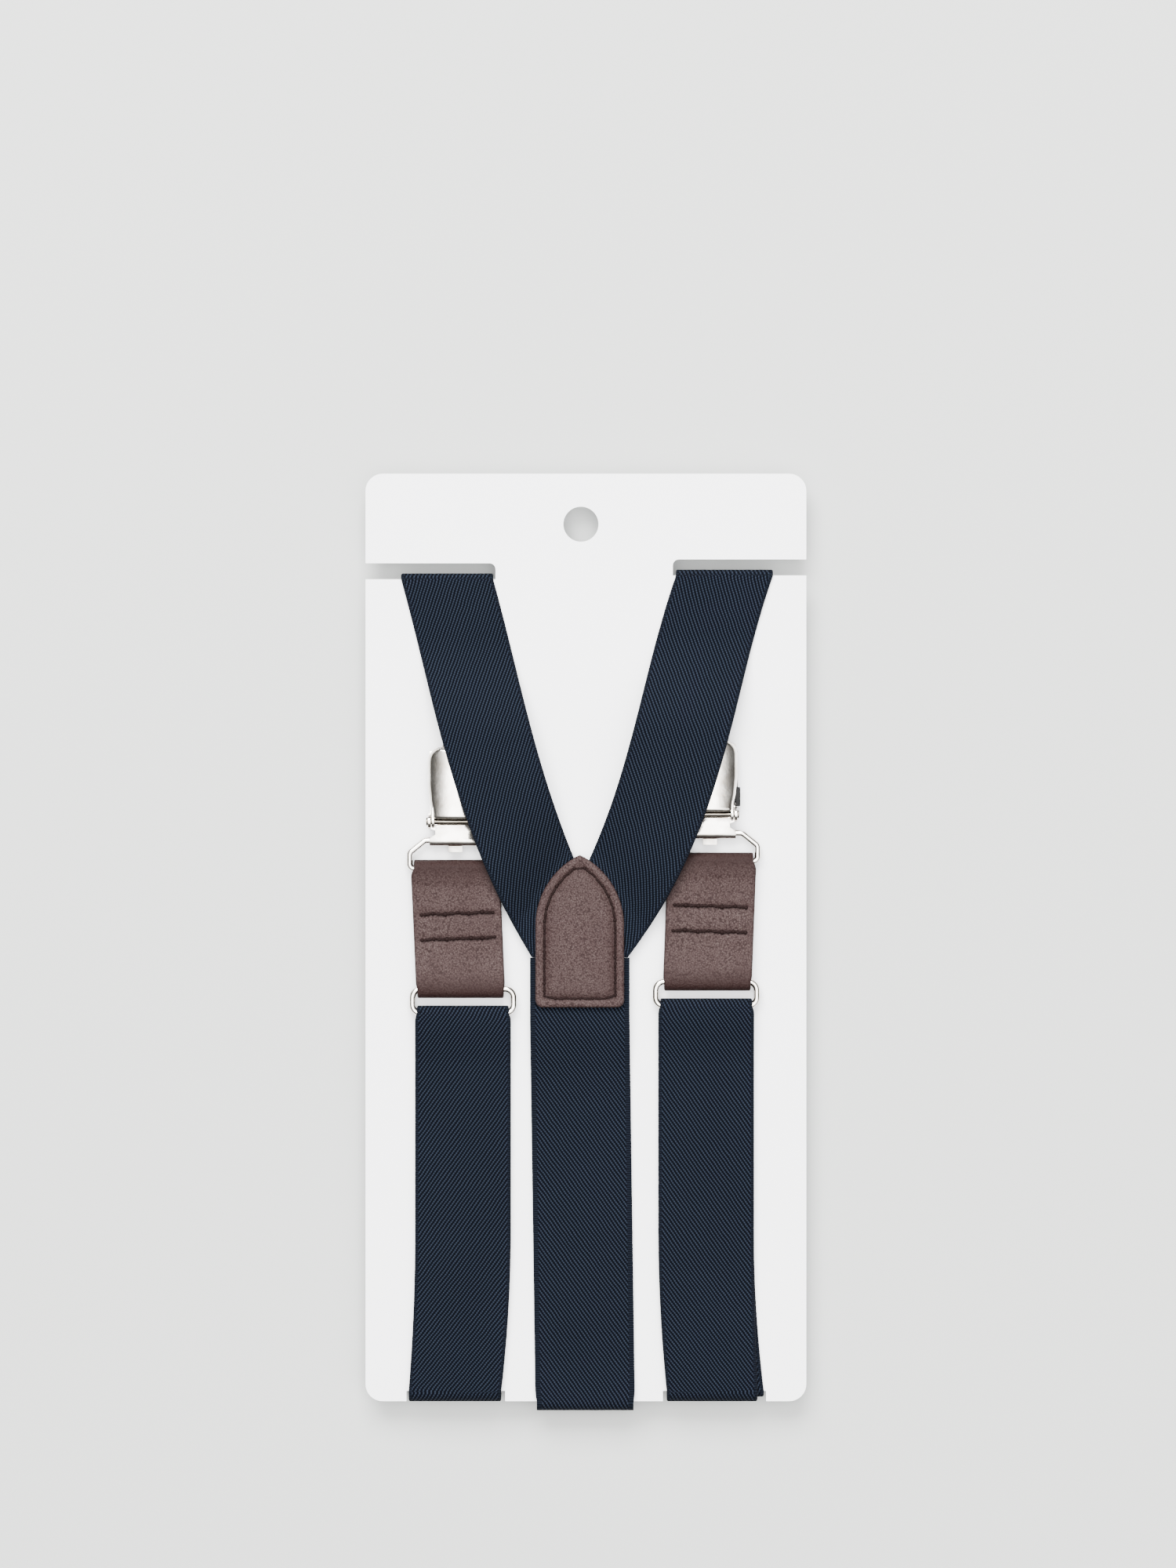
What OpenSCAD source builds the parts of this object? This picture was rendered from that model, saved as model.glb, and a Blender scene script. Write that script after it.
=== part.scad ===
// Y-back suspenders wrapped round their display card.
// Millimetres. The card lies flat: X to the right, Y to the card's top edge, Z up from the table.

/* [Card] */
// Width of the card
card_w = 115.2; // [100:0.1:140]
// Length of the card
card_l = 242.4; // [220:0.1:280]
// Thickness of the card
card_t = 0.6; // [0.4:0.1:1.2]
// Radius of the card's corners
card_corner_r = 4.5; // [2:0.1:8]
// Diameter of the hang hole
hang_hole_d = 9.2; // [6:0.1:12]
// Distance from the top edge to the centre of the hang hole
hang_hole_drop = 13.2; // [9:0.1:18]
// Distance from the top edge to the edge the left strap folds over
left_notch_drop = 27.6; // [25:0.1:34]
// Distance from the top edge to the edge the right strap folds over
right_notch_drop = 26.6; // [25:0.1:34]
// Height of the two top notches
top_notch_h = 4.2; // [3:0.1:6]
// Depth of the two notches in the bottom edge
bottom_notch_d = 2.7; // [1:0.1:4]

/* [Straps] */
// Width of the elastic
strap_w = 25; // [20:0.1:30]
// Thickness of the elastic
strap_t = 1.1; // [0.8:0.05:1.4]
// Space between the centre strap and the left front strap
left_gap = 5.5; // [4:0.1:12]
// Space between the centre strap and the right front strap
right_gap = 8; // [4:0.1:12]
// How far the left strap leans out from its ring to the bottom edge
left_lean = 1.9; // [0:0.1:4]
// How far the right strap leans out from its ring to the bottom edge
right_lean = 1.6; // [0:0.1:4]
// Width of the left yoke strap, measured across the card
left_yoke_w = 24.1; // [20:0.1:28]
// Width of the right yoke strap, measured across the card
right_yoke_w = 25.4; // [20:0.1:28]
// Distance between the outer edges of the yoke straps at the top
yoke_spread = 97.2; // [85:0.1:110]
// Height of the left ring above the card's bottom edge
left_ring_y = 101.5; // [90:0.1:115]
// Height of the right ring above the card's bottom edge
right_ring_y = 103.4; // [90:0.1:115]
// Height of the back ring above the card's bottom edge
back_ring_y = 101.5; // [90:0.1:115]

/* [Leather] */
// Thickness of the leather
leather_t = 1.5; // [1.1:0.05:2]
// Width of the leather tabs
tab_w = 23.2; // [18:0.1:26]
// Distance between the two wires a tab holds
tab_span = 31.4; // [25:0.1:38]
// Width of the Y patch
patch_w = 23.2; // [19:0.1:27]
// Length of the straight sides of the Y patch
patch_side = 21.3; // [18:0.1:30]
// Length of the Y patch from its bottom edge to its point
patch_l = 39.8; // [32:0.1:48]
// Height of the patch's bottom edge above the card's bottom edge
patch_y = 103; // [95:0.1:115]

/* [Hardware] */
// Diameter of the ring wire
ring_wire_d = 1.65; // [1.2:0.05:2]
// Diameter of the bail wire
bail_wire_d = 1.6; // [1.2:0.05:2]
// Distance between the two bars of a ring
ring_span = 6.3; // [5.5:0.1:8]
// Thickness of the clip's sheet metal
sheet_t = 0.7; // [0.6:0.05:0.9]
// Width of the clip's cover
cover_w = 14.4; // [13.6:0.1:17]
// Length of the clip's lever from its pin
lever_l = 19.4; // [16:0.1:24]
// Diameter of the clip's pin
pin_d = 1.5; // [1.2:0.05:1.8]
// Distance from the bail's lower bar to the pin
bail_to_pin = 12.3; // [11:0.1:15]

/* [Adjusters] */
// Height of the adjusters above the card's bottom edge, on the back
adjuster_y = 80; // [65:0.5:95]
// Length of an adjuster along the strap
adjuster_l = 17; // [14:0.1:22]

/* [Hidden] */
nickel = [0.8, 0.79, 0.77];
leather_color = [0.42, 0.34, 0.34];
navy = [0.15, 0.19, 0.25];
thread_color = [0.14, 0.08, 0.08];
card_color = [0.95, 0.95, 0.95];
pad_color = [0.08, 0.08, 0.08];

// gap between bodies that move past each other, and between layers that lie together
clear = 0.3;
near = 0.05;
rest_gap = 0.15;
big = 400;

ring_r = ring_wire_d / 2;
bail_r = bail_wire_d / 2;
ring_bend = 2.2;
ring_half_w = strap_w / 2 + 0.7;
ring_bar_half = ring_half_w - ring_bend;
bail_bend = 1.3;
bail_half_w = tab_w / 2 + 0.3;
bail_top_half = 7.9;
bail_knee = 4.2;
bail_bar_half = bail_half_w - bail_bend;
curl_half_w = 6.7;
curl_neck = 5.2;

// the plane of the wires, above the side of the card they lie on
wire_z = leather_t + ring_r + near + rest_gap;
strap_fold_r = ring_r + near + strap_t / 2;
tab_ring_r = ring_r + near + leather_t / 2;
tab_bail_r = bail_r + near + leather_t / 2;

// along a hanger: the ring's lower bar is at 0
ring_top = ring_span;
bail_bar = ring_top + tab_span;
pin_y = bail_bar + bail_to_pin;
curl_y = pin_y - 4.9;
pin_r = pin_d / 2;
pin_z = wire_z + 1.5;
curl_r = bail_r + near + sheet_t / 2;
base_z = wire_z - curl_r;
cheek_x = 5.4;
ear_x = cheek_x + sheet_t + clear;
ear_r = 1.8;
cheek_r = 1.7;
cheek_l = 3.6;
cover_top = pin_z + 3.1;
cover_r = 13;
cover_start = 0.8;
cover_corner_r = 3.8;
jaw_y0 = pin_y - 2.2;
jaw_l = lever_l - 1.6;
pad_y0 = pin_y + 3.2;
pad_l = lever_l - 6;
pad_half_w = 6.7;
lug_half_w = 7.4;
pad_shift = 0.5;

// how far the tab's lower end, the bail and the clip sit beside their ring
left_tab_shift = -0.6;
left_bail_shift = -2;
left_clip_shift = -2;
right_tab_shift = 0.3;
right_bail_shift = 1.5;
right_clip_shift = 1;

// the card and the part's frame
back_depth = cover_top;
card_z0 = back_depth;
card_z1 = card_z0 + card_t;
card_mid = card_z0 + card_t / 2;
patch_x = -1.6;
hang_hole_x = -1.3;
right_notch_extra = 1.2;
centre_foot_x = -0.2;
left_front_x = patch_x - strap_w - left_gap;
right_front_x = patch_x + strap_w + right_gap;
left_foot_x = left_front_x - left_lean;
right_foot_x = right_front_x + right_lean;
left_fold_y = card_l - left_notch_drop;
right_fold_y = card_l - right_notch_drop;
yoke_mid_x = 0.3;
left_yoke_x = yoke_mid_x - yoke_spread / 2;
right_yoke_x = yoke_mid_x + yoke_spread / 2;
centre_fold_r = 1.3 + strap_t / 2;
frame_mid = (card_l - centre_fold_r - strap_t / 2) / 2;

// strap layers, measured from the card's middle plane to the strap's middle
inner_mid = card_t / 2 + rest_gap + strap_t / 2;
outer_mid = inner_mid + strap_t + 0.1;
over_clip = cover_top + clear + strap_t / 2;
in_patch = rest_gap + leather_t + 0.4 + near + strap_t / 2;
patch_back_z = in_patch - strap_t / 2 - near - leather_t;
patch_front_z = in_patch + strap_t / 2 + near;
span_top_gap = 2.2;
left_ramp = 19;
right_ramp = 22;
ramp_angle = 32.3;
ramp_y = patch_y + 32.6;
ramp_x = 8.1;
rise_start = 1.1;
yoke_end_y = patch_y + 13;
centre_end_y = patch_y + 12;
left_slant = 0.79;
left_bow = -0.35;
right_slant = 0.91;
right_bow = -0.83;
strap_fold_w = 2 * ring_bar_half;
// where the wrapped strap starts to drift towards the top notch, on the back
drift_y = 96;
// lengths over which the wrapped strap changes height
span_glide = 26;
adjuster_glide = 52;
ring_glide = 16;
tuck_glide = 12;
lean_h = 45;

// the adjuster, measured down from the card's underside
bar_r = 0.75;
loop_r = bar_r + near + strap_t / 2;
bar_depth = rest_gap + strap_t / 2 + loop_r;
run_depth = bar_depth + loop_r + strap_t + clear;
side_bar_top = run_depth + strap_t / 2 + clear;
loop_tail = 13;
fold_pitch = 2.2;
fold_row_half = strap_w / 2 - 2;
tab_pitch = 3.15;
tab_row_half = 7.9;
patch_pitch = 3.3;
patch_stitch_l = 2.6;
run_end_y = bottom_notch_d + 2;

// Which node to draw, or all of them

// ---- points along curves ----

function turn(c, r, a0, a1, n) = [
  for (i = [0 : n]) [c[0] + r * cos(a0 + (a1 - a0) * i / n), c[1] + r * sin(a0 + (a1 - a0) * i / n)]
];

function glide(p, q, n) = [
  for (i = [0 : n]) [p[0] + (q[0] - p[0]) * i / n, p[1] + (q[1] - p[1]) * (1 - cos(180 * i / n)) / 2]
];

function rest(v) = [for (i = [1 : len(v) - 1]) v[i]];

function mix(a, b, t) = a + (b - a) * min(1, max(0, t));

function along(v, i) = let (d = v[min(i + 1, len(v) - 1)] - v[max(i - 1, 0)]) d / norm(d);

function offset_point(v, i, d) = let (a = along(v, i)) [v[i][0] - a[1] * d, v[i][1] + a[0] * d];

// outline of a strip that follows the middle line v
function strip_outline(v, t) = concat(
  [for (i = [0 : len(v) - 1]) offset_point(v, i, t / 2)],
  [for (i = [len(v) - 1 : -1 : 0]) offset_point(v, i, -t / 2)]
);

// ---- general shapes ----

module in_frame() {
  translate([0, -frame_mid, 0]) children();
}

// stations are [y, z, x, width]; the strip stays level across X
module ribbon(stations, t) {
  n = len(stations);
  v = [for (s = stations) [s[0], s[1]]];
  corners = [for (i = [0 : n - 1]) for (k = [0 : 3])
    let (
      x = stations[i][2] + (k == 1 || k == 2 ? 1 : -1) * stations[i][3] / 2,
      p = offset_point(v, i, k < 2 ? t / 2 : -t / 2)
    ) [x, p[0], p[1]]];
  sides = [for (i = [0 : n - 2]) for (k = [0 : 3])
    let (a = 4 * i + k, b = 4 * i + (k + 1) % 4) [[a, a + 4, b + 4], [a, b + 4, b]]];
  faces = concat(
    [for (pair = sides) pair[0]],
    [for (pair = sides) pair[1]],
    [[0, 1, 2], [0, 2, 3]],
    [[4 * n - 1, 4 * n - 2, 4 * n - 3], [4 * n - 1, 4 * n - 3, 4 * n - 4]]
  );
  polyhedron(points = corners, faces = faces);
}

// a strip with the same section all across X, from x0 to x1
module sheet_across(v, t, x0, x1) {
  translate([x0, 0, 0])
    rotate([90, 0, 90])
      linear_extrude(height = x1 - x0)
        polygon(strip_outline(v, t));
}

module rounded_plate(w, l, r) {
  steps = 8;
  polygon(concat(
    turn([w / 2 - r, l - r], r, 0, 90, steps),
    turn([-w / 2 + r, l - r], r, 90, 180, steps),
    turn([-w / 2 + r, r], r, 180, 270, steps),
    turn([w / 2 - r, r], r, 270, 360, steps)
  ));
}

module bar_x(r, half) {
  rotate([0, 90, 0]) cylinder(r = r, h = 2 * half, center = true, $fn = 48);
}

// one straight length of wire from p to q in the XY plane
module wire_leg(p, q, r) {
  d = q - p;
  translate([p[0], p[1], 0])
    rotate([0, 0, atan2(d[1], d[0])])
      rotate([0, 90, 0])
        cylinder(r = r, h = norm(d), $fn = 48);
}

function heading(c, i) = let (n = len(c), d = c[(i + 1) % n] - c[i % n]) atan2(d[1], d[0]);

// how far the wire turns at corner i
function swing(c, i) = let (s = heading(c, i) - heading(c, i + len(c) - 1)) s < 0 ? s + 360 : s;

function setback(c, i, bend) = bend * tan(swing(c, i) / 2);

function ahead(c, i) = [cos(heading(c, i)), sin(heading(c, i))];

function bend_start(c, i, bend) = c[i] - ahead(c, i + len(c) - 1) * setback(c, i, bend);

// a closed wire through the corner points, each corner rounded to the bend radius
module wire_loop(corners, bend, r) {
  n = len(corners);
  for (i = [0 : n - 1]) {
    j = (i + 1) % n;
    wire_leg(corners[i] + ahead(corners, i) * setback(corners, i, bend), bend_start(corners, j, bend), r);
    start = bend_start(corners, i, bend);
    translate([start[0], start[1], 0])
      rotate([0, 0, heading(corners, i + n - 1) - 90])
        translate([-bend, 0, 0])
          rotate_extrude(angle = swing(corners, i), $fn = 64)
            translate([bend, 0])
              circle(r = r, $fn = 32);
  }
}

// the middle line of a bent wire, as [x, y, direction]
function wire_line(c, bend, steps) = [
  for (i = [0 : len(c) - 1]) for (k = [0 : steps])
    let (
      a = heading(c, i + len(c) - 1),
      b = a + swing(c, i) * k / steps,
      start = bend_start(c, i, bend),
      hub = start + bend * [-sin(a), cos(a)]
    ) [hub[0] + bend * sin(b), hub[1] - bend * cos(b), b]
];

// a wire with slanted legs, swept along its middle line
module bent_wire(corners, bend, r) {
  line = wire_line(corners, bend, 6);
  sides = 16;
  n = len(line);
  points = [for (p = line) for (k = [0 : sides - 1])
    let (a = 360 * k / sides)
    [p[0] + r * cos(a) * sin(p[2]), p[1] - r * cos(a) * cos(p[2]), r * sin(a)]];
  quads = [for (i = [0 : n - 1]) for (k = [0 : sides - 1])
    let (j = (i + 1) % n, m = (k + 1) % sides)
    [i * sides + k, i * sides + m, j * sides + m, j * sides + k]];
  faces = concat(
    [for (q = quads) [q[0], q[1], q[2]]],
    [for (q = quads) [q[0], q[2], q[3]]]
  );
  polyhedron(points = points, faces = faces);
}

// ---- placing ----

module on_left() {
  in_frame()
    translate([left_front_x, left_ring_y, card_z1])
      children();
}

module on_right() {
  in_frame()
    translate([right_front_x, right_ring_y, card_z1])
      children();
}

module on_back() {
  in_frame()
    translate([patch_x, back_ring_y, card_z0])
      rotate([0, 180, 0])
        children();
}

// ---- card ----

module display_card() {
  color(card_color)
    in_frame()
      translate([0, 0, card_z0])
        difference() {
          linear_extrude(height = card_t)
            difference() {
              rounded_plate(card_w, card_l, card_corner_r);
              notch_side(-1, left_fold_y, left_yoke_x + left_yoke_w + 0.6);
              notch_side(1, right_fold_y, right_yoke_x - right_yoke_w - 0.8);
              notch_foot(left_foot_x, 0);
              notch_foot(right_foot_x, right_notch_extra);
            }
          translate([hang_hole_x, card_l - hang_hole_drop, -1])
            cylinder(d = hang_hole_d, h = card_t + 2, $fn = 64);
        }
}

// a slot from the card's side edge in to x_inner, above y_edge
module notch_side(side, y_edge, x_inner) {
  r = 1.6;
  x_outer = side * (card_w / 2 + 5);
  polygon(concat(
    [[x_outer, y_edge], [x_inner, y_edge]],
    side > 0
      ? turn([x_inner + r, y_edge + top_notch_h - r], r, 180, 90, 6)
      : turn([x_inner - r, y_edge + top_notch_h - r], r, 0, 90, 6),
    [[x_outer, y_edge + top_notch_h]]
  ));
}

// a shallow notch at the foot of the card, extra is how much wider it is on its right
module notch_foot(x, extra) {
  play = 0.4;
  translate([x - strap_w / 2 - play, -5])
    square([strap_w + 2 * play + extra, bottom_notch_d + 5]);
}

// ---- yoke ----

// how far the outer edge has moved in, at height y
function yoke_in(y, fold_y, a, b) =
  let (t = (fold_y - y) / (fold_y - yoke_end_y)) a * t + b * t * t + (1 - a - b) * t * t * t;

function left_outer(y) =
  left_yoke_x + (patch_x - strap_w / 2 - left_yoke_x) * yoke_in(y, left_fold_y, left_slant, left_bow);

function right_outer(y) =
  right_yoke_x + (patch_x + strap_w / 2 - right_yoke_x) * yoke_in(y, right_fold_y, right_slant, right_bow);

module yoke_outline(side) {
  steps = 24;
  y0 = yoke_end_y;
  y1 = side < 0 ? left_fold_y : right_fold_y;
  w = side < 0 ? left_yoke_w : -right_yoke_w;
  ys = [for (i = [0 : steps]) y0 + (y1 - y0) * i / steps];
  polygon(concat(
    [for (y = ys) [side < 0 ? left_outer(y) : right_outer(y), y]],
    [for (i = [steps : -1 : 0]) [(side < 0 ? left_outer(ys[i]) : right_outer(ys[i])) + w, ys[i]]]
  ));
}

// children are drawn with X pointing away from the patch along the strap's rise
module from_patch(side) {
  translate([patch_x + side * ramp_x, ramp_y, 0])
    rotate([0, 0, side < 0 ? 180 - ramp_angle : ramp_angle])
      children();
}

function rise(ramp) = concat(
  [[-20, in_patch], [rise_start, in_patch]],
  [for (i = [1 : 14])
    [mix(rise_start, ramp, i / 14), in_patch + (over_clip - in_patch) * sin(90 * i / 14)]]
);

module yoke_lower(side, ramp) {
  in_frame()
    translate([0, 0, card_z1])
      intersection() {
        linear_extrude(height = 20)
          intersection() {
            yoke_outline(side);
            translate([side < 0 ? patch_x - near - 60 : patch_x + near, 0])
              square([60, big]);
          }
        from_patch(side)
          rotate([90, 0, 0])
            linear_extrude(height = 120, center = true)
              polygon(strip_outline(rise(ramp), strap_t));
      }
}

module yoke_span(side, ramp, top_y) {
  in_frame()
    translate([0, 0, card_z1 + over_clip - strap_t / 2])
      linear_extrude(height = strap_t)
        intersection() {
          yoke_outline(side);
          translate([-big / 2, 0])
            square([big, top_y - clear]);
          from_patch(side)
            translate([ramp + clear, -big / 2])
              square([big, big]);
        }
}

module left_yoke_strap() {
  color(navy) yoke_lower(-1, left_ramp);
}

module right_yoke_strap() {
  color(navy) yoke_lower(1, right_ramp);
}

left_span_y = left_ring_y + pin_y + lever_l + span_top_gap;
right_span_y = right_ring_y + pin_y + lever_l + span_top_gap;

module left_yoke_span() {
  color(navy) yoke_span(-1, left_ramp, left_span_y);
}

module right_yoke_span() {
  color(navy) yoke_span(1, right_ramp, right_span_y);
}

// ---- straps that wrap the card ----

function front_x(y, x_top, lean) = x_top + lean * pow(1 - min(1, y / lean_h), 2);

// the strap is narrower where it folds round a ring
function fold_w(d) = strap_w - (strap_w - strap_fold_w) * pow(1 - min(1, max(0, d / 3)), 2);

// the outer layer: from the clip over the top notch, down the back, round the foot, up to the ring
// and down behind itself
function wrap(span_y, fold_y, ring_y, yoke_w, foot_x, x_top, side) =
  let (
    yoke_c = function (y) (side < 0 ? left_outer(y) + yoke_w / 2 : right_outer(y) - yoke_w / 2),
    lean = foot_x - x_top,
    foot = bottom_notch_d,
    z_run = card_z0 - run_depth,
    fold_c = yoke_c(fold_y),
    drift = function (y) max(0, (y - drift_y) / (fold_y - drift_y)),
    back_x = function (y) mix(foot_x, fold_c, drift(y)),
    back_w = function (y) mix(strap_w, yoke_w, drift(y)),
    ring_w = function (y) fold_w(ring_y - y),
    over_adjuster = adjuster_y + adjuster_l / 2 + 4,
    low_adjuster = adjuster_y - adjuster_glide,
    front_end = ring_y - ring_glide,
    tuck_end = ring_y - tuck_glide
  ) concat(
    [for (p = glide([span_y, card_z1 + over_clip], [span_y + span_glide, card_mid + inner_mid], 16))
      [p[0], p[1], yoke_c(p[0]), yoke_w]],
    [for (p = turn([fold_y, card_mid], inner_mid, 90, -90, 14)) [p[0], p[1], fold_c, yoke_w]],
    [for (p = rest(glide([fold_y, card_mid - inner_mid], [over_adjuster, z_run], 20)))
      [p[0], p[1], back_x(p[0]), back_w(p[0])]],
    [for (p = glide([low_adjuster, z_run], [foot, card_mid - outer_mid], 10))
      [p[0], p[1], foot_x, strap_w]],
    [for (p = rest(turn([foot, card_mid], outer_mid, -90, -270, 18))) [p[0], p[1], foot_x, strap_w]],
    [for (i = [1 : 10]) let (y = mix(foot, front_end, i / 10))
      [y, card_mid + outer_mid, front_x(y, x_top, lean), strap_w]],
    [for (p = rest(glide([front_end, card_mid + outer_mid], [ring_y, card_z1 + wire_z + strap_fold_r], 14)))
      [p[0], p[1], x_top, ring_w(p[0])]],
    [for (p = rest(turn([ring_y, card_z1 + wire_z], strap_fold_r, 90, -90, 12)))
      [p[0], p[1], x_top, strap_fold_w]],
    [for (p = rest(glide([ring_y, card_z1 + wire_z - strap_fold_r], [tuck_end, card_mid + inner_mid], 12)))
      [p[0], p[1], x_top, ring_w(p[0])]],
    [for (i = [1 : 10]) let (y = mix(tuck_end, foot, i / 10))
      [y, card_mid + inner_mid, front_x(y, x_top, lean), strap_w]],
    [for (p = rest(turn([foot, card_mid], inner_mid, 90, 270, 14))) [p[0], p[1], foot_x, strap_w]],
    [[run_end_y, card_mid - inner_mid, foot_x, strap_w]]
  );

module left_shoulder_strap() {
  path = wrap(left_span_y, left_fold_y, left_ring_y, left_yoke_w, left_foot_x, left_front_x, -1);
  color(navy) in_frame() ribbon(path, strap_t);
}

module right_shoulder_strap() {
  path = wrap(right_span_y, right_fold_y, right_ring_y, right_yoke_w, right_foot_x, right_front_x, 1);
  color(navy) in_frame() ribbon(path, strap_t);
}

// the inner layer on the back, up to the adjuster's loop
module return_run(x) {
  in_frame()
    sheet_across(
      [[run_end_y + near, card_mid - inner_mid], [adjuster_y - loop_tail - 2 - near, card_mid - inner_mid]],
      strap_t, x - strap_w / 2, x + strap_w / 2
    );
}

module left_return_run() {
  color(navy) return_run(left_foot_x);
}

module right_return_run() {
  color(navy) return_run(right_foot_x);
}

// the sewn loop round the adjuster's centre bar
module return_loop(x) {
  y = adjuster_y;
  z = card_z0 - bar_depth;
  v = concat(
    [[y - loop_tail - 2, card_mid - inner_mid], [y, z + loop_r]],
    rest(turn([y, z], loop_r, 90, -90, 14)),
    rest(glide([y, z - loop_r], [y - loop_tail + 3, card_mid - inner_mid - strap_t - near], 10)),
    [[y - loop_tail, card_mid - inner_mid - strap_t - near]]
  );
  in_frame()
    sheet_across(v, strap_t, x - strap_w / 2, x + strap_w / 2);
}

module left_return_loop() {
  color(navy) return_loop(left_foot_x);
}

module right_return_loop() {
  color(navy) return_loop(right_foot_x);
}

// a short raised stitch lying along X on top of a surface
module stitch(l, r) {
  intersection() {
    rotate([0, 90, 0])
      cylinder(r = r, h = l, center = true, $fn = 24);
    translate([0, 0, r])
      cube([l + 1, 4 * r, 2 * r], center = true);
  }
}

module stitch_row(half, pitch, l, r) {
  n = floor(2 * half / pitch);
  for (i = [0 : n]) {
    translate([(i - n / 2) * pitch, 0, 0]) stitch(l, r);
  }
}

module loop_stitching(x) {
  in_frame()
    translate([x, adjuster_y - loop_tail + 1.5, card_mid - inner_mid - 1.5 * strap_t - 2 * near])
      rotate([180, 0, 0])
        stitch_row(fold_row_half, fold_pitch, 1.6, 0.25);
}

module left_loop_stitching() {
  color(thread_color) loop_stitching(left_foot_x);
}

module right_loop_stitching() {
  color(thread_color) loop_stitching(right_foot_x);
}

// ---- adjuster ----

// side rails carry the centre bar near the card and two cross bars on the outer side
module adjuster(x) {
  half_in = strap_w / 2 + 0.6;
  rail = 2;
  bar_w = 2.6;
  top = bar_depth - bar_r;
  in_frame()
    translate([x, adjuster_y, card_z0])
      rotate([0, 180, 0]) {
        translate([0, 0, bar_depth]) bar_x(bar_r, half_in + rail / 2);
        for (s = [-1, 1]) {
          translate([s * (half_in + rail / 2) - rail / 2, 0, 0])
            rotate([90, 0, 90])
              linear_extrude(height = rail)
                polygon([
                  [-adjuster_l / 2, side_bar_top],
                  [-adjuster_l / 2, back_depth],
                  [adjuster_l / 2, back_depth],
                  [adjuster_l / 2, side_bar_top],
                  [2.2, top],
                  [-2.2, top]
                ]);
          translate([-half_in, s * (adjuster_l / 2 - bar_w / 2) - bar_w / 2, side_bar_top])
            cube([2 * half_in, bar_w, back_depth - side_bar_top]);
        }
      }
}

module left_adjuster() {
  color(nickel) adjuster(left_foot_x);
}

module right_adjuster() {
  color(nickel) adjuster(right_foot_x);
}

// ---- centre strap ----

function centre_x(y) = mix(centre_foot_x, patch_x, y / 100);

function centre_path() =
  let (
    foot = card_mid + centre_fold_r,
    ring = back_ring_y,
    tail_y = ring - 27,
    foot_start = 12,
    low = card_mid - inner_mid,
    second = low - strap_t - 0.1,
    ring_w = function (y) fold_w(ring - y)
  ) concat(
    [[centre_end_y, card_z1 + in_patch, patch_x, strap_w]],
    [for (p = glide([patch_y - 1, card_z1 + in_patch], [patch_y - 22, card_mid + inner_mid], 12))
      [p[0], p[1], centre_x(p[0]), strap_w]],
    [for (i = [1 : 6]) let (y = mix(patch_y - 22, foot_start, i / 6))
      [y, card_mid + inner_mid, centre_x(y), strap_w]],
    [for (p = rest(glide([foot_start, card_mid + inner_mid], [0, foot], 6)))
      [p[0], p[1], centre_x(p[0]), strap_w]],
    [for (p = rest(turn([0, card_mid], centre_fold_r, 90, 270, 18))) [p[0], p[1], centre_foot_x, strap_w]],
    [for (p = rest(glide([0, card_mid - centre_fold_r], [foot_start, low], 6)))
      [p[0], p[1], centre_x(p[0]), strap_w]],
    [for (i = [1 : 6]) let (y = mix(foot_start, tail_y - 10, i / 6)) [y, low, centre_x(y), strap_w]],
    [for (p = rest(glide([tail_y - 10, low], [tail_y - 1, second], 6)))
      [p[0], p[1], centre_x(p[0]), strap_w]],
    [for (p = glide([ring - ring_glide, second], [ring, card_z0 - wire_z - strap_fold_r], 12))
      [p[0], p[1], patch_x, ring_w(p[0])]],
    [for (p = rest(turn([ring, card_z0 - wire_z], strap_fold_r, -90, 90, 12)))
      [p[0], p[1], patch_x, strap_fold_w]],
    [for (p = rest(glide([ring, card_z0 - wire_z + strap_fold_r], [ring - tuck_glide, low], 12)))
      [p[0], p[1], patch_x, ring_w(p[0])]],
    [[tail_y, low, patch_x, strap_w]]
  );

module centre_strap() {
  color(navy)
    in_frame()
      ribbon(centre_path(), strap_t);
}

module centre_fold_stitching() {
  color(thread_color)
    in_frame()
      translate([patch_x, back_ring_y - 22, card_mid - inner_mid - 1.5 * strap_t - 0.1 - near])
        rotate([180, 0, 0])
          stitch_row(fold_row_half, fold_pitch, 1.6, 0.25);
}

// ---- Y patch ----

function patch_arc_r(h, l) = (h * h + l * l) / (2 * h);

// outline pulled in by inset; the bottom corners have the radius r
module patch_outline(inset, r) {
  polygon(patch_points(inset, r));
}

function patch_points(inset, r) =
  let (
    h = patch_w / 2,
    arch = patch_l - patch_side,
    arc_r = patch_arc_r(h, arch),
    rr = arc_r - inset,
    a_end = acos((arc_r - h) / rr),
    w = h - inset
  ) concat(
    turn([-w + r, inset + r], r, 180, 270, 6),
    turn([w - r, inset + r], r, 270, 360, 6),
    [for (i = [0 : 16]) [h - arc_r + rr * cos(a_end * i / 16), patch_side + rr * sin(a_end * i / 16)]],
    [for (i = [15 : -1 : 0]) [arc_r - h - rr * cos(a_end * i / 16), patch_side + rr * sin(a_end * i / 16)]]
  );

module patch_leather(z) {
  in_frame()
    translate([patch_x, patch_y, card_z1 + z])
      linear_extrude(height = leather_t)
        patch_outline(0, 1.9);
}

module patch_front() {
  color(leather_color) patch_leather(patch_front_z);
}

module patch_back() {
  color(leather_color) patch_leather(patch_back_z);
}

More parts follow.
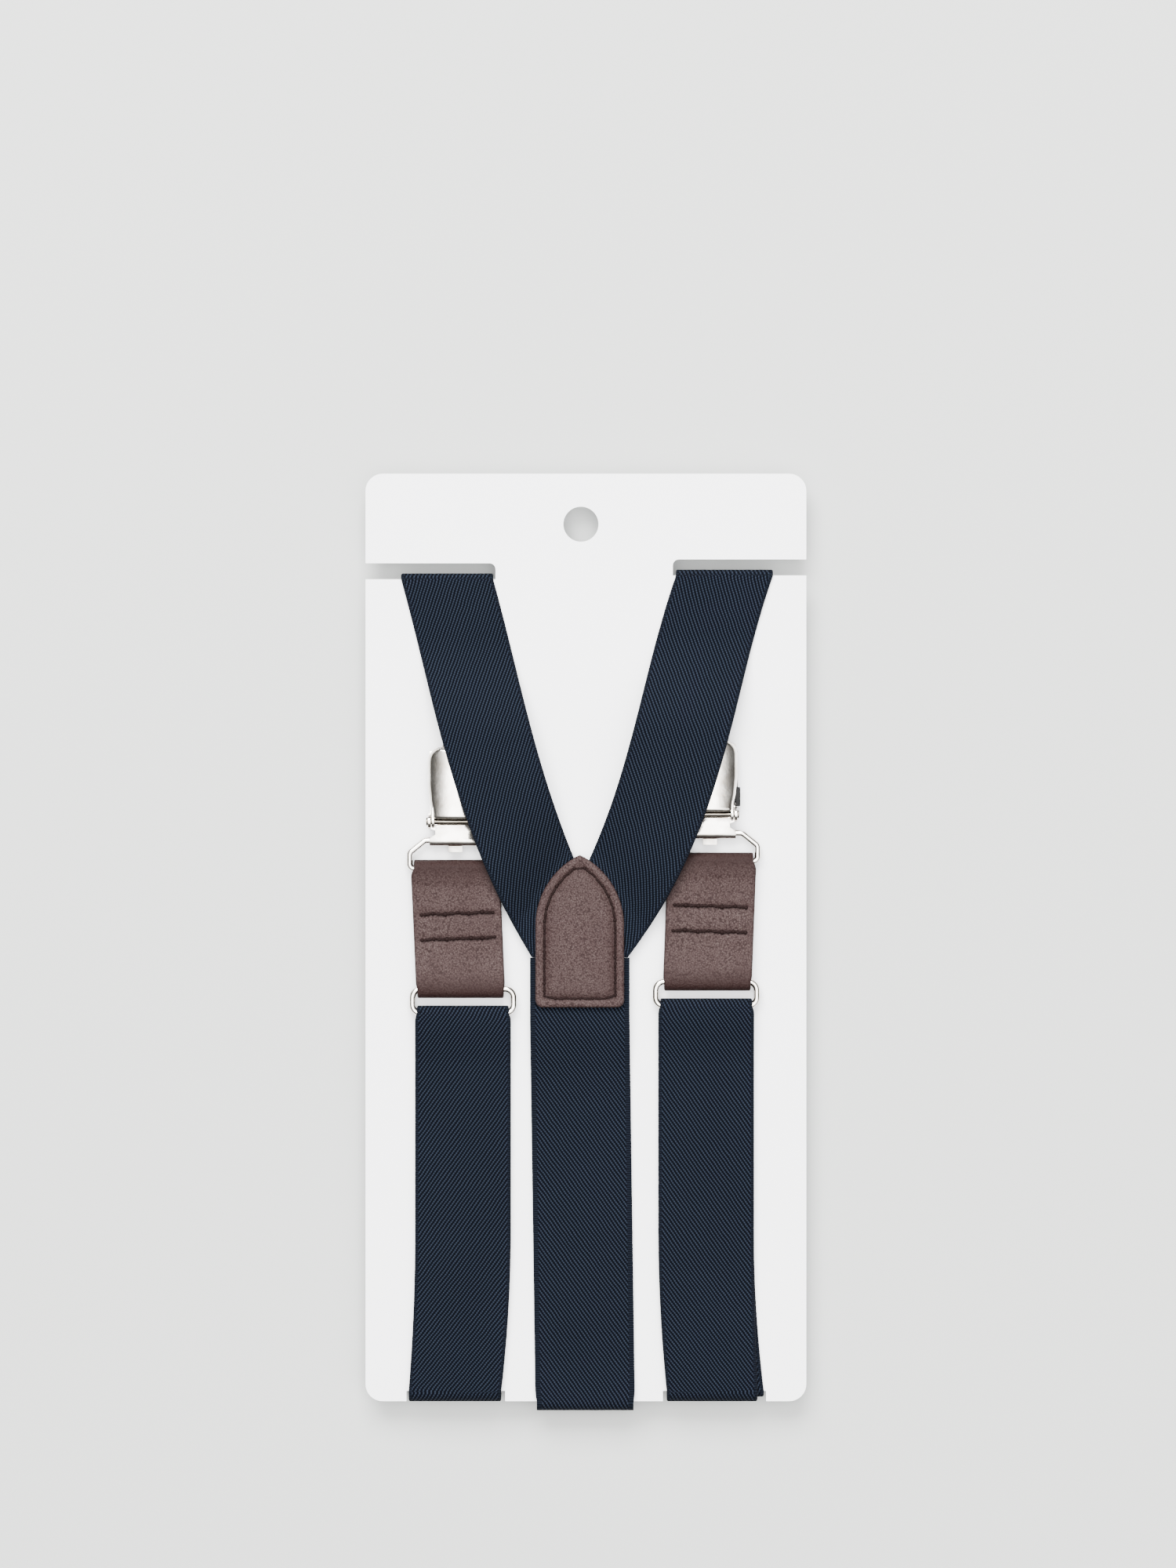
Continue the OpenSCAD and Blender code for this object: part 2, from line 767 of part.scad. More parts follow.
// the closed row of stitches along the patch's edge
module patch_stitching() {
  inset = 2.3;
  v = patch_points(inset, 0.6);
  n = len(v);
  lengths = [for (i = [0 : n - 1]) norm(v[(i + 1) % n] - v[i])];
  function run(i) = i == 0 ? 0 : lengths[i - 1] + run(i - 1);
  starts = [for (i = [0 : n]) run(i)];
  count = floor(starts[n] / patch_pitch);
  color(thread_color)
    in_frame()
      translate([patch_x, patch_y, card_z1 + patch_front_z + leather_t + near])
        for (k = [0 : count - 1]) {
          d = (k + 0.5) * starts[n] / count;
          i = max([for (m = [0 : n - 1]) starts[m] <= d ? m : 0]);
          u = (v[(i + 1) % n] - v[i]) / lengths[i];
          p = v[i] + u * (d - starts[i]);
          translate([p[0], p[1], 0])
            rotate([0, 0, atan2(u[1], u[0])])
              stitch(patch_stitch_l, 0.3);
        }
}

// ---- ring, tab and bail ----

module ring() {
  translate([0, ring_span / 2, wire_z])
    wire_loop([
      [-ring_half_w, -ring_span / 2],
      [ring_half_w, -ring_span / 2],
      [ring_half_w, ring_span / 2],
      [-ring_half_w, ring_span / 2]
    ], ring_bend, ring_r);
}

module left_ring() {
  color(nickel) on_left() ring();
}

module right_ring() {
  color(nickel) on_right() ring();
}

module back_ring() {
  color(nickel) on_back() ring();
}

// a strip of leather folded round both wires, its ends meeting at the back
module tab(foot, head) {
  lie = leather_t / 2 + near;
  mid = (ring_top + bail_bar) / 2;
  y0 = ring_top;
  y1 = bail_bar;
  x_at = function (y) mix(foot, head, (y - y0) / (y1 - y0));
  w_at = function (y) tab_w
    - (tab_w - 2 * ring_bar_half) * pow(1 - min(1, max(0, (y - y0) / 3)), 2)
    - (tab_w - 2 * bail_bar_half) * pow(1 - min(1, max(0, (y1 - y) / 3)), 2);
  v = concat(
    [[mid - 0.15, wire_z - lie]],
    glide([y0 + 10, wire_z - lie], [y0, wire_z - tab_ring_r], 10),
    rest(turn([y0, wire_z], tab_ring_r, 270, 90, 14)),
    rest(glide([y0, wire_z + tab_ring_r], [y0 + 10, wire_z + lie], 10)),
    glide([y1 - 9, wire_z + lie], [y1, wire_z + tab_bail_r], 10),
    rest(turn([y1, wire_z], tab_bail_r, 90, -90, 14)),
    rest(glide([y1, wire_z - tab_bail_r], [y1 - 9, wire_z - lie], 10)),
    [[mid + 0.15, wire_z - lie]]
  );
  ribbon([for (p = v) [p[0], p[1], x_at(p[0]), w_at(p[0])]], leather_t);
}

module left_tab() {
  color(leather_color) on_left() tab(left_tab_shift, left_bail_shift);
}

module right_tab() {
  color(leather_color) on_right() tab(right_tab_shift, right_bail_shift);
}

module back_tab() {
  color(leather_color) on_back() tab(0, 0);
}

module tab_stitching(foot, head) {
  lie = leather_t + near;
  for (f = [0.42, 0.63]) {
    translate([mix(foot, head, f), ring_top + tab_span * f, wire_z + lie + near])
      stitch_row(tab_row_half, tab_pitch, tab_pitch - 0.25, 0.35);
  }
}

module left_tab_stitching() {
  color(thread_color) on_left() tab_stitching(left_tab_shift, left_bail_shift);
}

module right_tab_stitching() {
  color(thread_color) on_right() tab_stitching(right_tab_shift, right_bail_shift);
}

module back_tab_stitching() {
  color(thread_color) on_back() tab_stitching(0, 0);
}

module bail(shift) {
  knee_y = bail_bar + bail_knee;
  translate([shift, 0, wire_z])
    bent_wire([
      [-bail_half_w, bail_bar],
      [bail_half_w, bail_bar],
      [bail_half_w, knee_y],
      [bail_top_half, curl_y],
      [-bail_top_half, curl_y],
      [-bail_half_w, knee_y]
    ], bail_bend, bail_r);
}

module left_bail() {
  color(nickel) on_left() bail(left_bail_shift);
}

module right_bail() {
  color(nickel) on_right() bail(right_bail_shift);
}

module back_bail() {
  color(nickel) on_back() bail(0);
}

// ---- clip ----

// the plate folded round the bail, with two ears that hold the pin and a small tongue
module clip_base() {
  base_end = pin_y + lever_l - 1;
  flap_y = pin_y - pin_r - 0.2;
  flap_half_w = cheek_x - clear;
  neck_y = pin_y - ear_r - 0.6;
  v = concat(
    [[base_end, base_z]],
    turn([curl_y, wire_z], curl_r, -90, -270, 16),
    [[flap_y, wire_z + curl_r]]
  );
  tongue_w = 3.7;
  tongue_l = 3.1;
  difference() {
    union() {
      difference() {
        intersection() {
          sheet_across(v, sheet_t, -10, 10);
          linear_extrude(height = 20)
            base_outline(base_end);
        }
        // the folded-over end stays clear of the lever's cheeks
        for (s = [-1, 1]) {
          translate([s * (flap_half_w + 5) - 5, neck_y, wire_z]) cube([10, 5, 5]);
        }
      }
      for (s = [-1, 1]) {
        translate([s * (ear_x + sheet_t / 2) - sheet_t / 2, pin_y, 0]) ear();
      }
      translate([-tongue_w / 2, curl_y - tongue_l, wire_z - sheet_t / 2])
        cube([tongue_w, tongue_l - bail_r - near - 0.2, sheet_t]);
    }
    translate([0, pin_y, pin_z]) bar_x(pin_r + 0.02, 12);
  }
}

// seen from the front: wide at the ears, a neck below them, wider again at the curl
module base_outline(base_end) {
  side = [
    [curl_half_w, curl_y - 3],
    [curl_half_w, curl_y + 0.6],
    [curl_neck, curl_y + 1.5],
    [curl_neck, pin_y - ear_r - 0.6],
    [ear_x + sheet_t, pin_y - ear_r],
    [ear_x + sheet_t, pin_y + ear_r],
    [pad_half_w, pin_y + ear_r + 0.6],
    [pad_half_w, base_end + 1]
  ];
  n = len(side);
  polygon(concat(side, [for (i = [n - 1 : -1 : 0]) [-side[i][0], side[i][1]]]));
}

module ear() {
  rotate([90, 0, 90])
    linear_extrude(height = sheet_t)
      union() {
        translate([0, pin_z]) circle(r = ear_r, $fn = 48);
        translate([-ear_r, base_z - sheet_t / 2])
          square([2 * ear_r, pin_z - base_z + sheet_t / 2]);
      }
}

module clip_pin() {
  head_x = ear_x + sheet_t + 0.3;
  translate([0, pin_y, pin_z]) {
    bar_x(pin_r, head_x);
    for (s = [-1, 1]) {
      translate([s * (head_x - 0.05), 0, 0]) bar_x(pin_r + 0.3, 0.2);
    }
  }
}

// cover outline seen from the front, pulled in by inset
module cover_outline(inset) {
  y0 = pin_y + cover_start;
  y1 = pin_y + lever_l - inset;
  w0 = cheek_x + sheet_t - inset;
  w1 = cover_w / 2 - inset;
  r = cover_corner_r - inset;
  side = [[w0, y0], [w0, y0 + 1.4], [mix(w0, w1, 0.6), y0 + 4.5], [w1, y0 + 9]];
  n = len(side);
  polygon(concat(
    side,
    turn([w1 - r, y1 - r], r, 0, 90, 10),
    turn([-w1 + r, y1 - r], r, 90, 180, 10),
    [for (i = [n - 1 : -1 : 0]) [-side[i][0], side[i][1]]]
  ));
}

module clip_lever() {
  wall_z = pin_z + 0.4;
  cam_w = 6;
  difference() {
    union() {
      difference() {
        intersection() {
          translate([0, 0, wall_z]) linear_extrude(height = 10) cover_outline(0);
          translate([0, 0, cover_top - cover_r]) lying_cylinder(cover_r);
        }
        intersection() {
          translate([0, -1, wall_z - 1]) linear_extrude(height = 20) cover_outline(sheet_t);
          translate([0, 0, cover_top - cover_r]) lying_cylinder(cover_r - sheet_t);
        }
      }
      for (s = [-1, 1]) {
        translate([s * (cheek_x + sheet_t / 2) - sheet_t / 2, pin_y, 0]) cheek();
      }
      translate([-cam_w / 2, pin_y + 3, pin_z + 0.2]) cube([cam_w, sheet_t, cover_top - pin_z - 0.8]);
    }
    translate([0, pin_y, pin_z]) bar_x(pin_r + 0.1, 12);
  }
}

module lying_cylinder(r) {
  translate([0, pin_y + 30, 0])
    rotate([90, 0, 0])
      cylinder(r = r, h = 40, $fn = 96);
}

module cheek() {
  rotate([90, 0, 90])
    linear_extrude(height = sheet_t)
      union() {
        translate([0, pin_z]) circle(r = cheek_r, $fn = 48);
        translate([0, pin_z - 0.6]) square([cheek_l, 2.2]);
      }
}

module clip_jaw() {
  jaw_z = pad_top_z() + sheet_t * 0.375;
  t = sheet_t * 0.75;
  low_z = base_z + sheet_t / 2 + clear + t / 2;
  y_end = jaw_y0 + jaw_l;
  tail = cheek_x - 0.7;
  half = pad_half_w - 0.1;
  v = concat(
    [[jaw_y0, low_z]],
    glide([pin_y + 1.2, low_z], [pad_y0, jaw_z], 6),
    [[y_end, jaw_z]]
  );
  intersection() {
    sheet_across(v, t, -10, 10);
    linear_extrude(height = 20)
      polygon([
        [-tail, jaw_y0 - 1], [-tail, pin_y + cheek_l + 0.4], [-half, pad_y0 + 2], [-half, y_end + 1],
        [half, y_end + 1], [half, pad_y0 + 2], [tail, pin_y + cheek_l + 0.4], [tail, jaw_y0 - 1]
      ]);
  }
}

function pad_t() = (pin_z - 0.4 - base_z - sheet_t / 2 - clear) * 0.36;

function pad_top_z() = base_z + sheet_t / 2 + 2 * pad_t() + clear;

// a flat pad with a short lug on its right side near the pin
module pad(z) {
  lug_x = pad_half_w + 0.05;
  lug_l = 5;
  translate([0, 0, z]) {
    translate([pad_shift - pad_half_w, pad_y0, 0])
      cube([2 * pad_half_w, pad_l, pad_t()]);
    translate([lug_x, pin_y + ear_r + clear, 0])
      cube([pad_shift + lug_half_w - lug_x, lug_l, pad_t()]);
  }
}

module upper_pad() {
  pad(pad_top_z() - pad_t() - 0.005);
}

module lower_pad() {
  pad(base_z + sheet_t / 2 + 0.005);
}

module left_clip_base() {
  color(nickel) on_left() translate([left_clip_shift, 0, 0]) clip_base();
}

module right_clip_base() {
  color(nickel) on_right() translate([right_clip_shift, 0, 0]) clip_base();
}

module back_clip_base() {
  color(nickel) on_back() clip_base();
}

module left_clip_lever() {
  color(nickel) on_left() translate([left_clip_shift, 0, 0]) clip_lever();
}

module right_clip_lever() {
  color(nickel) on_right() translate([right_clip_shift, 0, 0]) clip_lever();
}

module back_clip_lever() {
  color(nickel) on_back() clip_lever();
}

module left_clip_jaw() {
  color(nickel) on_left() translate([left_clip_shift, 0, 0]) clip_jaw();
}

module right_clip_jaw() {
  color(nickel) on_right() translate([right_clip_shift, 0, 0]) clip_jaw();
}

module back_clip_jaw() {
  color(nickel) on_back() clip_jaw();
}

module left_clip_pin() {
  color(nickel) on_left() translate([left_clip_shift, 0, 0]) clip_pin();
}

module right_clip_pin() {
  color(nickel) on_right() translate([right_clip_shift, 0, 0]) clip_pin();
}

module back_clip_pin() {
  color(nickel) on_back() clip_pin();
}

module left_upper_pad() {
  color(pad_color) on_left() translate([left_clip_shift, 0, 0]) upper_pad();
}

module right_upper_pad() {
  color(pad_color) on_right() translate([right_clip_shift, 0, 0]) upper_pad();
}

module back_upper_pad() {
  color(pad_color) on_back() upper_pad();
}

module left_lower_pad() {
  color(pad_color) on_left() translate([left_clip_shift, 0, 0]) lower_pad();
}

module right_lower_pad() {
  color(pad_color) on_right() translate([right_clip_shift, 0, 0]) lower_pad();
}

module back_lower_pad() {
  color(pad_color) on_back() lower_pad();
}

display_card();
patch_front();
patch_back();
patch_stitching();
left_yoke_strap();
right_yoke_strap();
left_yoke_span();
right_yoke_span();
left_shoulder_strap();
right_shoulder_strap();
left_return_run();
right_return_run();
left_return_loop();
right_return_loop();
left_loop_stitching();
right_loop_stitching();
left_adjuster();
right_adjuster();
centre_strap();
centre_fold_stitching();
left_ring();
right_ring();
back_ring();
left_tab();
right_tab();
back_tab();
left_tab_stitching();
right_tab_stitching();
back_tab_stitching();
left_bail();
right_bail();
back_bail();
left_clip_base();
right_clip_base();
back_clip_base();
left_clip_lever();
right_clip_lever();
back_clip_lever();
left_clip_jaw();
right_clip_jaw();
back_clip_jaw();
left_clip_pin();
right_clip_pin();
back_clip_pin();
left_upper_pad();
right_upper_pad();
back_upper_pad();
left_lower_pad();
right_lower_pad();
back_lower_pad();
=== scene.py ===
import math

import bpy
import numpy as np
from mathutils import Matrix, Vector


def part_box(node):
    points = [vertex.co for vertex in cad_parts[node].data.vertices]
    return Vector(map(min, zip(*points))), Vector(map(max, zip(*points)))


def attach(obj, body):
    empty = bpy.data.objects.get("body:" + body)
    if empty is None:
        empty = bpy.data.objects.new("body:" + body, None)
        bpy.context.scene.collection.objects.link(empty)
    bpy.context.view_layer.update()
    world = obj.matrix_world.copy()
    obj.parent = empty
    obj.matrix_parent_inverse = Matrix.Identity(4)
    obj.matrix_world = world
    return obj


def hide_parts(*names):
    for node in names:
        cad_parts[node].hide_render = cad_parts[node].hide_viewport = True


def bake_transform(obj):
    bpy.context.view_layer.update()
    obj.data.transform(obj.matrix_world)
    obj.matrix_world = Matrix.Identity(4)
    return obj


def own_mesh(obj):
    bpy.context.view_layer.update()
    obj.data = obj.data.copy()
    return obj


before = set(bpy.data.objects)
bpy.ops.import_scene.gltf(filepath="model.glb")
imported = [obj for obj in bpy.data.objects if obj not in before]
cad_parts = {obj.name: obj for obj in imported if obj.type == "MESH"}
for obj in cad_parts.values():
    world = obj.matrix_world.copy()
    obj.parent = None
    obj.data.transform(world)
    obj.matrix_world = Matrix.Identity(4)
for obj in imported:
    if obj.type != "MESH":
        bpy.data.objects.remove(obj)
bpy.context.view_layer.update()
MM = 0.001


# ---- sizes that come from the frame, in millimetres ----

def box_mm(node):
    low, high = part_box(node)
    return np.array(low) / MM, np.array(high) / MM


CARD_LOW, CARD_HIGH = box_mm("display_card")
FOOT_Y = CARD_LOW[1]
CARD_BACK = CARD_LOW[2]
CARD_FRONT = CARD_HIGH[2]
CARD_MID = (CARD_BACK + CARD_FRONT) / 2
PATCH_LOW, PATCH_HIGH = box_mm("patch_front")
PATCH_X = (PATCH_LOW[0] + PATCH_HIGH[0]) / 2
PATCH_Y = PATCH_LOW[1]
PATCH_W = PATCH_HIGH[0] - PATCH_LOW[0]
PATCH_L = PATCH_HIGH[1] - PATCH_LOW[1]
LEATHER_T = PATCH_HIGH[2] - PATCH_LOW[2]
PATCH_SIDE = 21.3

# the elastic
STRAP_W = 25.0
STRAP_T = 1.1
EDGE_R = 0.5
NEAR = 0.05
REST = 0.15
CLEAR = 0.3
INNER = (CARD_FRONT - CARD_MID) + REST + STRAP_T / 2
OUTER = INNER + STRAP_T + 0.1
ON_FRONT = CARD_MID + INNER
ON_BACK = CARD_MID - INNER
IN_PATCH = PATCH_LOW[2] - NEAR - STRAP_T / 2
SPAN_LOW, SPAN_HIGH = box_mm("left_yoke_span")
OVER_CLIP = (SPAN_LOW[2] + SPAN_HIGH[2]) / 2
BOTTOM_NOTCH = 2.7
CENTRE_FOLD_R = 1.3 + STRAP_T / 2
TEXTURE_SPAN = 100.0

# how long each change of height or lean along a strap takes
SPAN_GLIDE = 26
RING_GLIDE = 16
TUCK_GLIDE = 12
FRONT_LEAN = 42.0
BACK_LEAN = 14.0
DRIFT_START = 96
YOKE_TAIL = 9
SPLIT_DROP = 2.0

# the adjuster: its bar, how far it slides, and the loop sewn round it
BAR_R = 0.75
LOOP_R = BAR_R + NEAR + STRAP_T / 2
ADJUSTER_REACH = 4
ADJUSTER_GLIDE = 52
LOOP_GLIDE = 10
LOOP_SEAM = 11.5
LOOP_END = 13
LOOP_WEAVE_START = 61.0

# the centre strap: heights above the foot, below the patch and below its ring
CENTRE_RISE = 12
PATCH_GLIDE = 22
CENTRE_TAIL = 27
CENTRE_SEAM = 22
TAIL_GLIDE = 10
CENTRE_FOOT_SHIFT = 1.4
CENTRE_LEAN = 100
FOOT_TAPER = 0.7

# where a strap folds round a ring it is drawn in by this much, starting this far before the ring
RING_SQUEEZE = 1.0
RING_SQUEEZE_L = 2.5

# radius and height of the stitches
FOLD_THREAD = (0.27, 0.12)
PATCH_THREAD = (0.27, 0.24)
TAB_THREAD = (0.37, 0.26)
FOLD_PITCH = 2.2
FOLD_MARGIN = 4


class Side:
    """What differs between the left and the right shoulder strap."""

    def __init__(self, name, sign, fold_drop, yoke_w, slant, bow, ramp, foot):
        self.name = name
        self.sign = sign
        self.fold_y = CARD_HIGH[1] - fold_drop
        self.yoke_w = yoke_w
        self.slant = slant
        self.bow = bow
        self.ramp = ramp
        self.foot = foot
        low, high = box_mm(name + "_ring")
        self.ring_r = (high[2] - low[2]) / 2
        self.ring_z = (high[2] + low[2]) / 2
        self.ring_y = low[1] + self.ring_r
        self.front_x = (low[0] + high[0]) / 2
        self.span_y = box_mm(name + "_yoke_span")[1][1] + CLEAR
        run_low, run_high = box_mm(name + "_return_run")
        self.foot_x = (run_low[0] + run_high[0]) / 2
        self.run_start = run_low[1]
        self.run_end = run_high[1]


YOKE_MID_X = 0.3
YOKE_SPREAD = 97.2
YOKE_END_Y = PATCH_Y + 13
RAMP_ANGLE = math.radians(32.3)
RAMP_X = 8.1
RAMP_Y = PATCH_Y + 32.6
RISE_START = 1.1
# the last value of each side: how far the outer layer's left and right edge, and the inner layer, move by
# at the bottom edge
LEFT = Side("left", -1, 27.6, 24.1, 0.79, -0.35, 19.0, (-1.7, -2.5, -2.1))
RIGHT = Side("right", 1, 26.6, 25.4, 0.91, -0.83, 22.0, (2.2, 0.9, 3.4))
INNER_TAPER = 1.6


# ---- meshes ----

def new_object(name, points, faces, uv=None, material=None, sharp=40):
    mesh = bpy.data.meshes.new(name)
    mesh.from_pydata((np.asarray(points) * MM).tolist(), [], faces)
    mesh.update()
    if uv is not None:
        layer = mesh.uv_layers.new(name="UVMap")
        index = np.empty(len(mesh.loops), int)
        mesh.loops.foreach_get("vertex_index", index)
        layer.data.foreach_set("uv", (np.asarray(uv) / TEXTURE_SPAN)[index].astype(np.float32).ravel())
    mesh.shade_smooth()
    mesh.set_sharp_from_angle(angle=math.radians(sharp))
    obj = bpy.data.objects.new(name, mesh)
    bpy.context.scene.collection.objects.link(obj)
    if material is not None:
        mesh.materials.append(material)
    return obj


def unit(v):
    length = np.linalg.norm(v, axis=-1, keepdims=True)
    return v / np.maximum(length, 1e-9)


def edge_profile(width, radius, steps, inner):
    """Positions across a strip from 0 to 1, and the share of the half thickness at each. A negative width
    turns both edges outwards by the radius, so such a strip is 2 * radius too wide."""
    turn = np.linspace(0, math.pi / 2, steps)
    start = radius / width * (1 - np.cos(turn))
    middle = np.linspace(radius / width, 1 - radius / width, inner)[1:-1]
    share = np.concatenate([start, middle, 1 - start[::-1]])
    height = np.concatenate([np.sin(turn), np.ones(len(middle)), np.sin(turn)[::-1]])
    return share, height


def slab(name, middle, half, uv, material, lift=None, sharp=50):
    """A closed strip round a grid of middle points (n x m x 3). half is half its thickness at each of
    the m points across, 0 at both edges. lift raises the top side only, by a grid of millimetres."""
    n, m = middle.shape[:2]
    along = np.gradient(middle, axis=0)
    across = np.gradient(middle, axis=1)
    normal = unit(np.cross(across, along))
    thick = half[None, :, None]
    up = thick if lift is None else thick + lift[:, :, None] * (thick > 0)
    top = middle + normal * up
    bottom = (middle - normal * thick)[:, 1:-1]
    points = np.concatenate([top.reshape(-1, 3), bottom.reshape(-1, 3)])
    flat_uv = np.concatenate([uv.reshape(-1, 2), uv[:, 1:-1].reshape(-1, 2)])

    def t(i, j):
        return i * m + j

    def b(i, j):
        return t(i, j) if j in (0, m - 1) else n * m + i * (m - 2) + j - 1

    faces = []
    for i in range(n - 1):
        for j in range(m - 1):
            faces.append((t(i, j), t(i, j + 1), t(i + 1, j + 1), t(i + 1, j)))
            faces.append((b(i, j), b(i + 1, j), b(i + 1, j + 1), b(i, j + 1)))
    for i, flip in ((0, False), (n - 1, True)):
        for j in range(m - 1):
            ring = []
            for corner in (t(i, j), b(i, j), b(i, j + 1), t(i, j + 1)):
                if corner not in ring:
                    ring.append(corner)
            faces.append(tuple(ring[::-1] if flip else ring))
    obj = new_object(name, points, faces, flat_uv, material, sharp)
    across_step = np.linalg.norm(np.diff(middle, axis=1), axis=2)
    along_step = np.linalg.norm(np.diff(middle, axis=0), axis=2)
    width = (across_step[:-1] + across_step[1:]) / 2
    length = (along_step[:, :-1] + along_step[:, 1:]) / 2
    obj["width"] = float(across_step.sum(axis=1).max())
    obj["length"] = float(along_step.sum(axis=0).max())
    obj["area"] = float((width * length).sum())
    return obj


def lengths(line):
    step = np.linalg.norm(np.diff(line, axis=0), axis=1)
    return np.concatenate([[0], np.cumsum(step)])


def settle(obj, node, body):
    """The CAD node that obj stands for and the body it rides on."""
    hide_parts(node)
    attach(obj, body)


def band(name, line, left, right, thickness, radius, material, v_start=0.0, inner=22, shape=None):
    """A strip that follows line, points of [y, z], between the edges left and right, both in X.
    shape(x, y) gives how far the top side is raised. The strips on the back and the centre strap are given
    their right edge first, which faces them the other way and gives edge_profile a negative width."""
    line = np.asarray(line, float)
    left = np.asarray(left, float)
    right = np.asarray(right, float)
    share, height = edge_profile(float(np.mean(right - left)), radius, 6, inner)
    x = left[:, None] + (right - left)[:, None] * share[None, :]
    y = np.repeat(line[:, :1], len(share), axis=1)
    z = np.repeat(line[:, 1:], len(share), axis=1)
    middle = np.stack([x, y, z], axis=2)
    centre = (left + right) / 2
    v = lengths(line)
    slope = np.gradient(centre) / np.maximum(np.gradient(v), 1e-6)
    offset = x - centre[:, None]
    squeeze = STRAP_W / np.abs(right - left)[:, None]
    turn = np.arctan(slope)[:, None]
    uv = np.stack([offset * squeeze, v_start + v[:, None] + offset * np.sin(turn)], axis=2)
    lift = None if shape is None else shape(x, y)
    return slab(name, middle, height * thickness / 2, uv, material, lift)


def arc(centre, radius, start, end, steps):
    a = np.radians(np.linspace(start, end, steps + 1))
    return np.stack([centre[0] + radius * np.cos(a), centre[1] + radius * np.sin(a)], axis=1)


def glide(p, q, steps):
    t = np.linspace(0, 1, steps + 1)
    ease = (1 - np.cos(math.pi * t)) / 2
    return np.stack([p[0] + (q[0] - p[0]) * t, p[1] + (q[1] - p[1]) * ease], axis=1)


def straight(p, q, steps):
    t = np.linspace(0, 1, steps + 1)[:, None]
    return np.asarray(p) * (1 - t) + np.asarray(q) * t


def chain(*runs):
    """Runs of points joined end to end, each start that repeats the last point left out."""
    out = [runs[0]]
    for run in runs[1:]:
        out.append(run[1:] if np.allclose(run[0], out[-1][-1], atol=1e-6) else run)
    return np.concatenate(out)


def rounded_loop(corners, bend, steps=10):
    """The middle line of a closed wire through the corners, each rounded to the bend radius."""
    corners = np.asarray(corners, float)
    n = len(corners)
    points = []
    for i in range(n):
        a = unit(corners[i] - corners[i - 1])
        b = unit(corners[(i + 1) % n] - corners[i])
        swing = math.acos(float(np.clip(a @ b, -1, 1)))
        back = bend * math.tan(swing / 2)
        start = corners[i] - a * back
        hub = start + bend * np.array([-a[1], a[0]])
        heading = math.atan2(a[1], a[0])
        for k in range(steps + 1):
            h = heading + swing * k / steps
            points.append([hub[0] + bend * math.sin(h), hub[1] - bend * math.cos(h)])
    return np.array(points)


def wire(name, loop, z, radius, material, place, sides=20):
    """A closed round wire along a flat loop of points [x, y] at height z."""
    n = len(loop)
    ahead = unit(np.roll(loop, -1, axis=0) - np.roll(loop, 1, axis=0))
    out = np.stack([ahead[:, 1], -ahead[:, 0]], axis=1)
    a = np.linspace(0, 2 * math.pi, sides, endpoint=False)
    x = loop[:, 0, None] + radius * np.cos(a)[None, :] * out[:, 0, None]
    y = loop[:, 1, None] + radius * np.cos(a)[None, :] * out[:, 1, None]
    points = np.stack([x, y, z + radius * np.sin(a)[None, :] * np.ones((n, 1))], axis=2).reshape(-1, 3)
    faces = []
    for i in range(n):
        j = (i + 1) % n
        for k in range(sides):
            m = (k + 1) % sides
            faces.append((i * sides + k, j * sides + k, j * sides + m, i * sides + m))
    return new_object(name, place(points), [f[::-1] for f in faces], None, material, 60)


def softened(node, name, material, width, segments=2):
    """A copy of a CAD node with its sharp edges rounded off."""
    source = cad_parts[node]
    mesh = source.data.copy()
    mesh.name = name
    obj = bpy.data.objects.new(name, mesh)
    bpy.context.scene.collection.objects.link(obj)
    mesh.materials.clear()
    mesh.materials.append(material)
    weld = obj.modifiers.new("weld", "WELD")
    weld.merge_threshold = 0.000004
    planar = obj.modifiers.new("planar", "DECIMATE")
    planar.decimate_type = "DISSOLVE"
    planar.angle_limit = math.radians(2)
    bevel = obj.modifiers.new("bevel", "BEVEL")
    bevel.width = width * MM
    bevel.segments = segments
    bevel.limit_method = "ANGLE"
    bevel.angle_limit = math.radians(40)
    bevel.use_clamp_overlap = True
    return applied(obj, 35)


def applied(obj, sharp=50):
    """obj with its modifiers made part of its mesh."""
    graph = bpy.context.evaluated_depsgraph_get()
    done = bpy.data.meshes.new_from_object(obj.evaluated_get(graph))
    obj.modifiers.clear()
    obj.data = done
    done.name = obj.name
    done.shade_smooth()
    done.set_sharp_from_angle(angle=math.radians(sharp))
    return obj


def join(objects, name):
    first = objects[0]
    bpy.ops.object.select_all(action="DESELECT")
    for o in objects:
        o.select_set(True)
    bpy.context.view_layer.objects.active = first
    if len(objects) > 1:
        bpy.ops.object.join()
    first.name = name
    first.data.name = name
    return first


def tube_faces(rows, sides):
    """Faces of a tube of rows + 1 rings of points, with a cap on both ends."""
    faces = []
    for i in range(rows):
        for k in range(sides):
            m = (k + 1) % sides
            faces.append((i * sides + k, i * sides + m, (i + 1) * sides + m, (i + 1) * sides + k))
    faces.append(tuple(range(sides))[::-1])
    faces.append(tuple(range(rows * sides, (rows + 1) * sides)))
    return faces


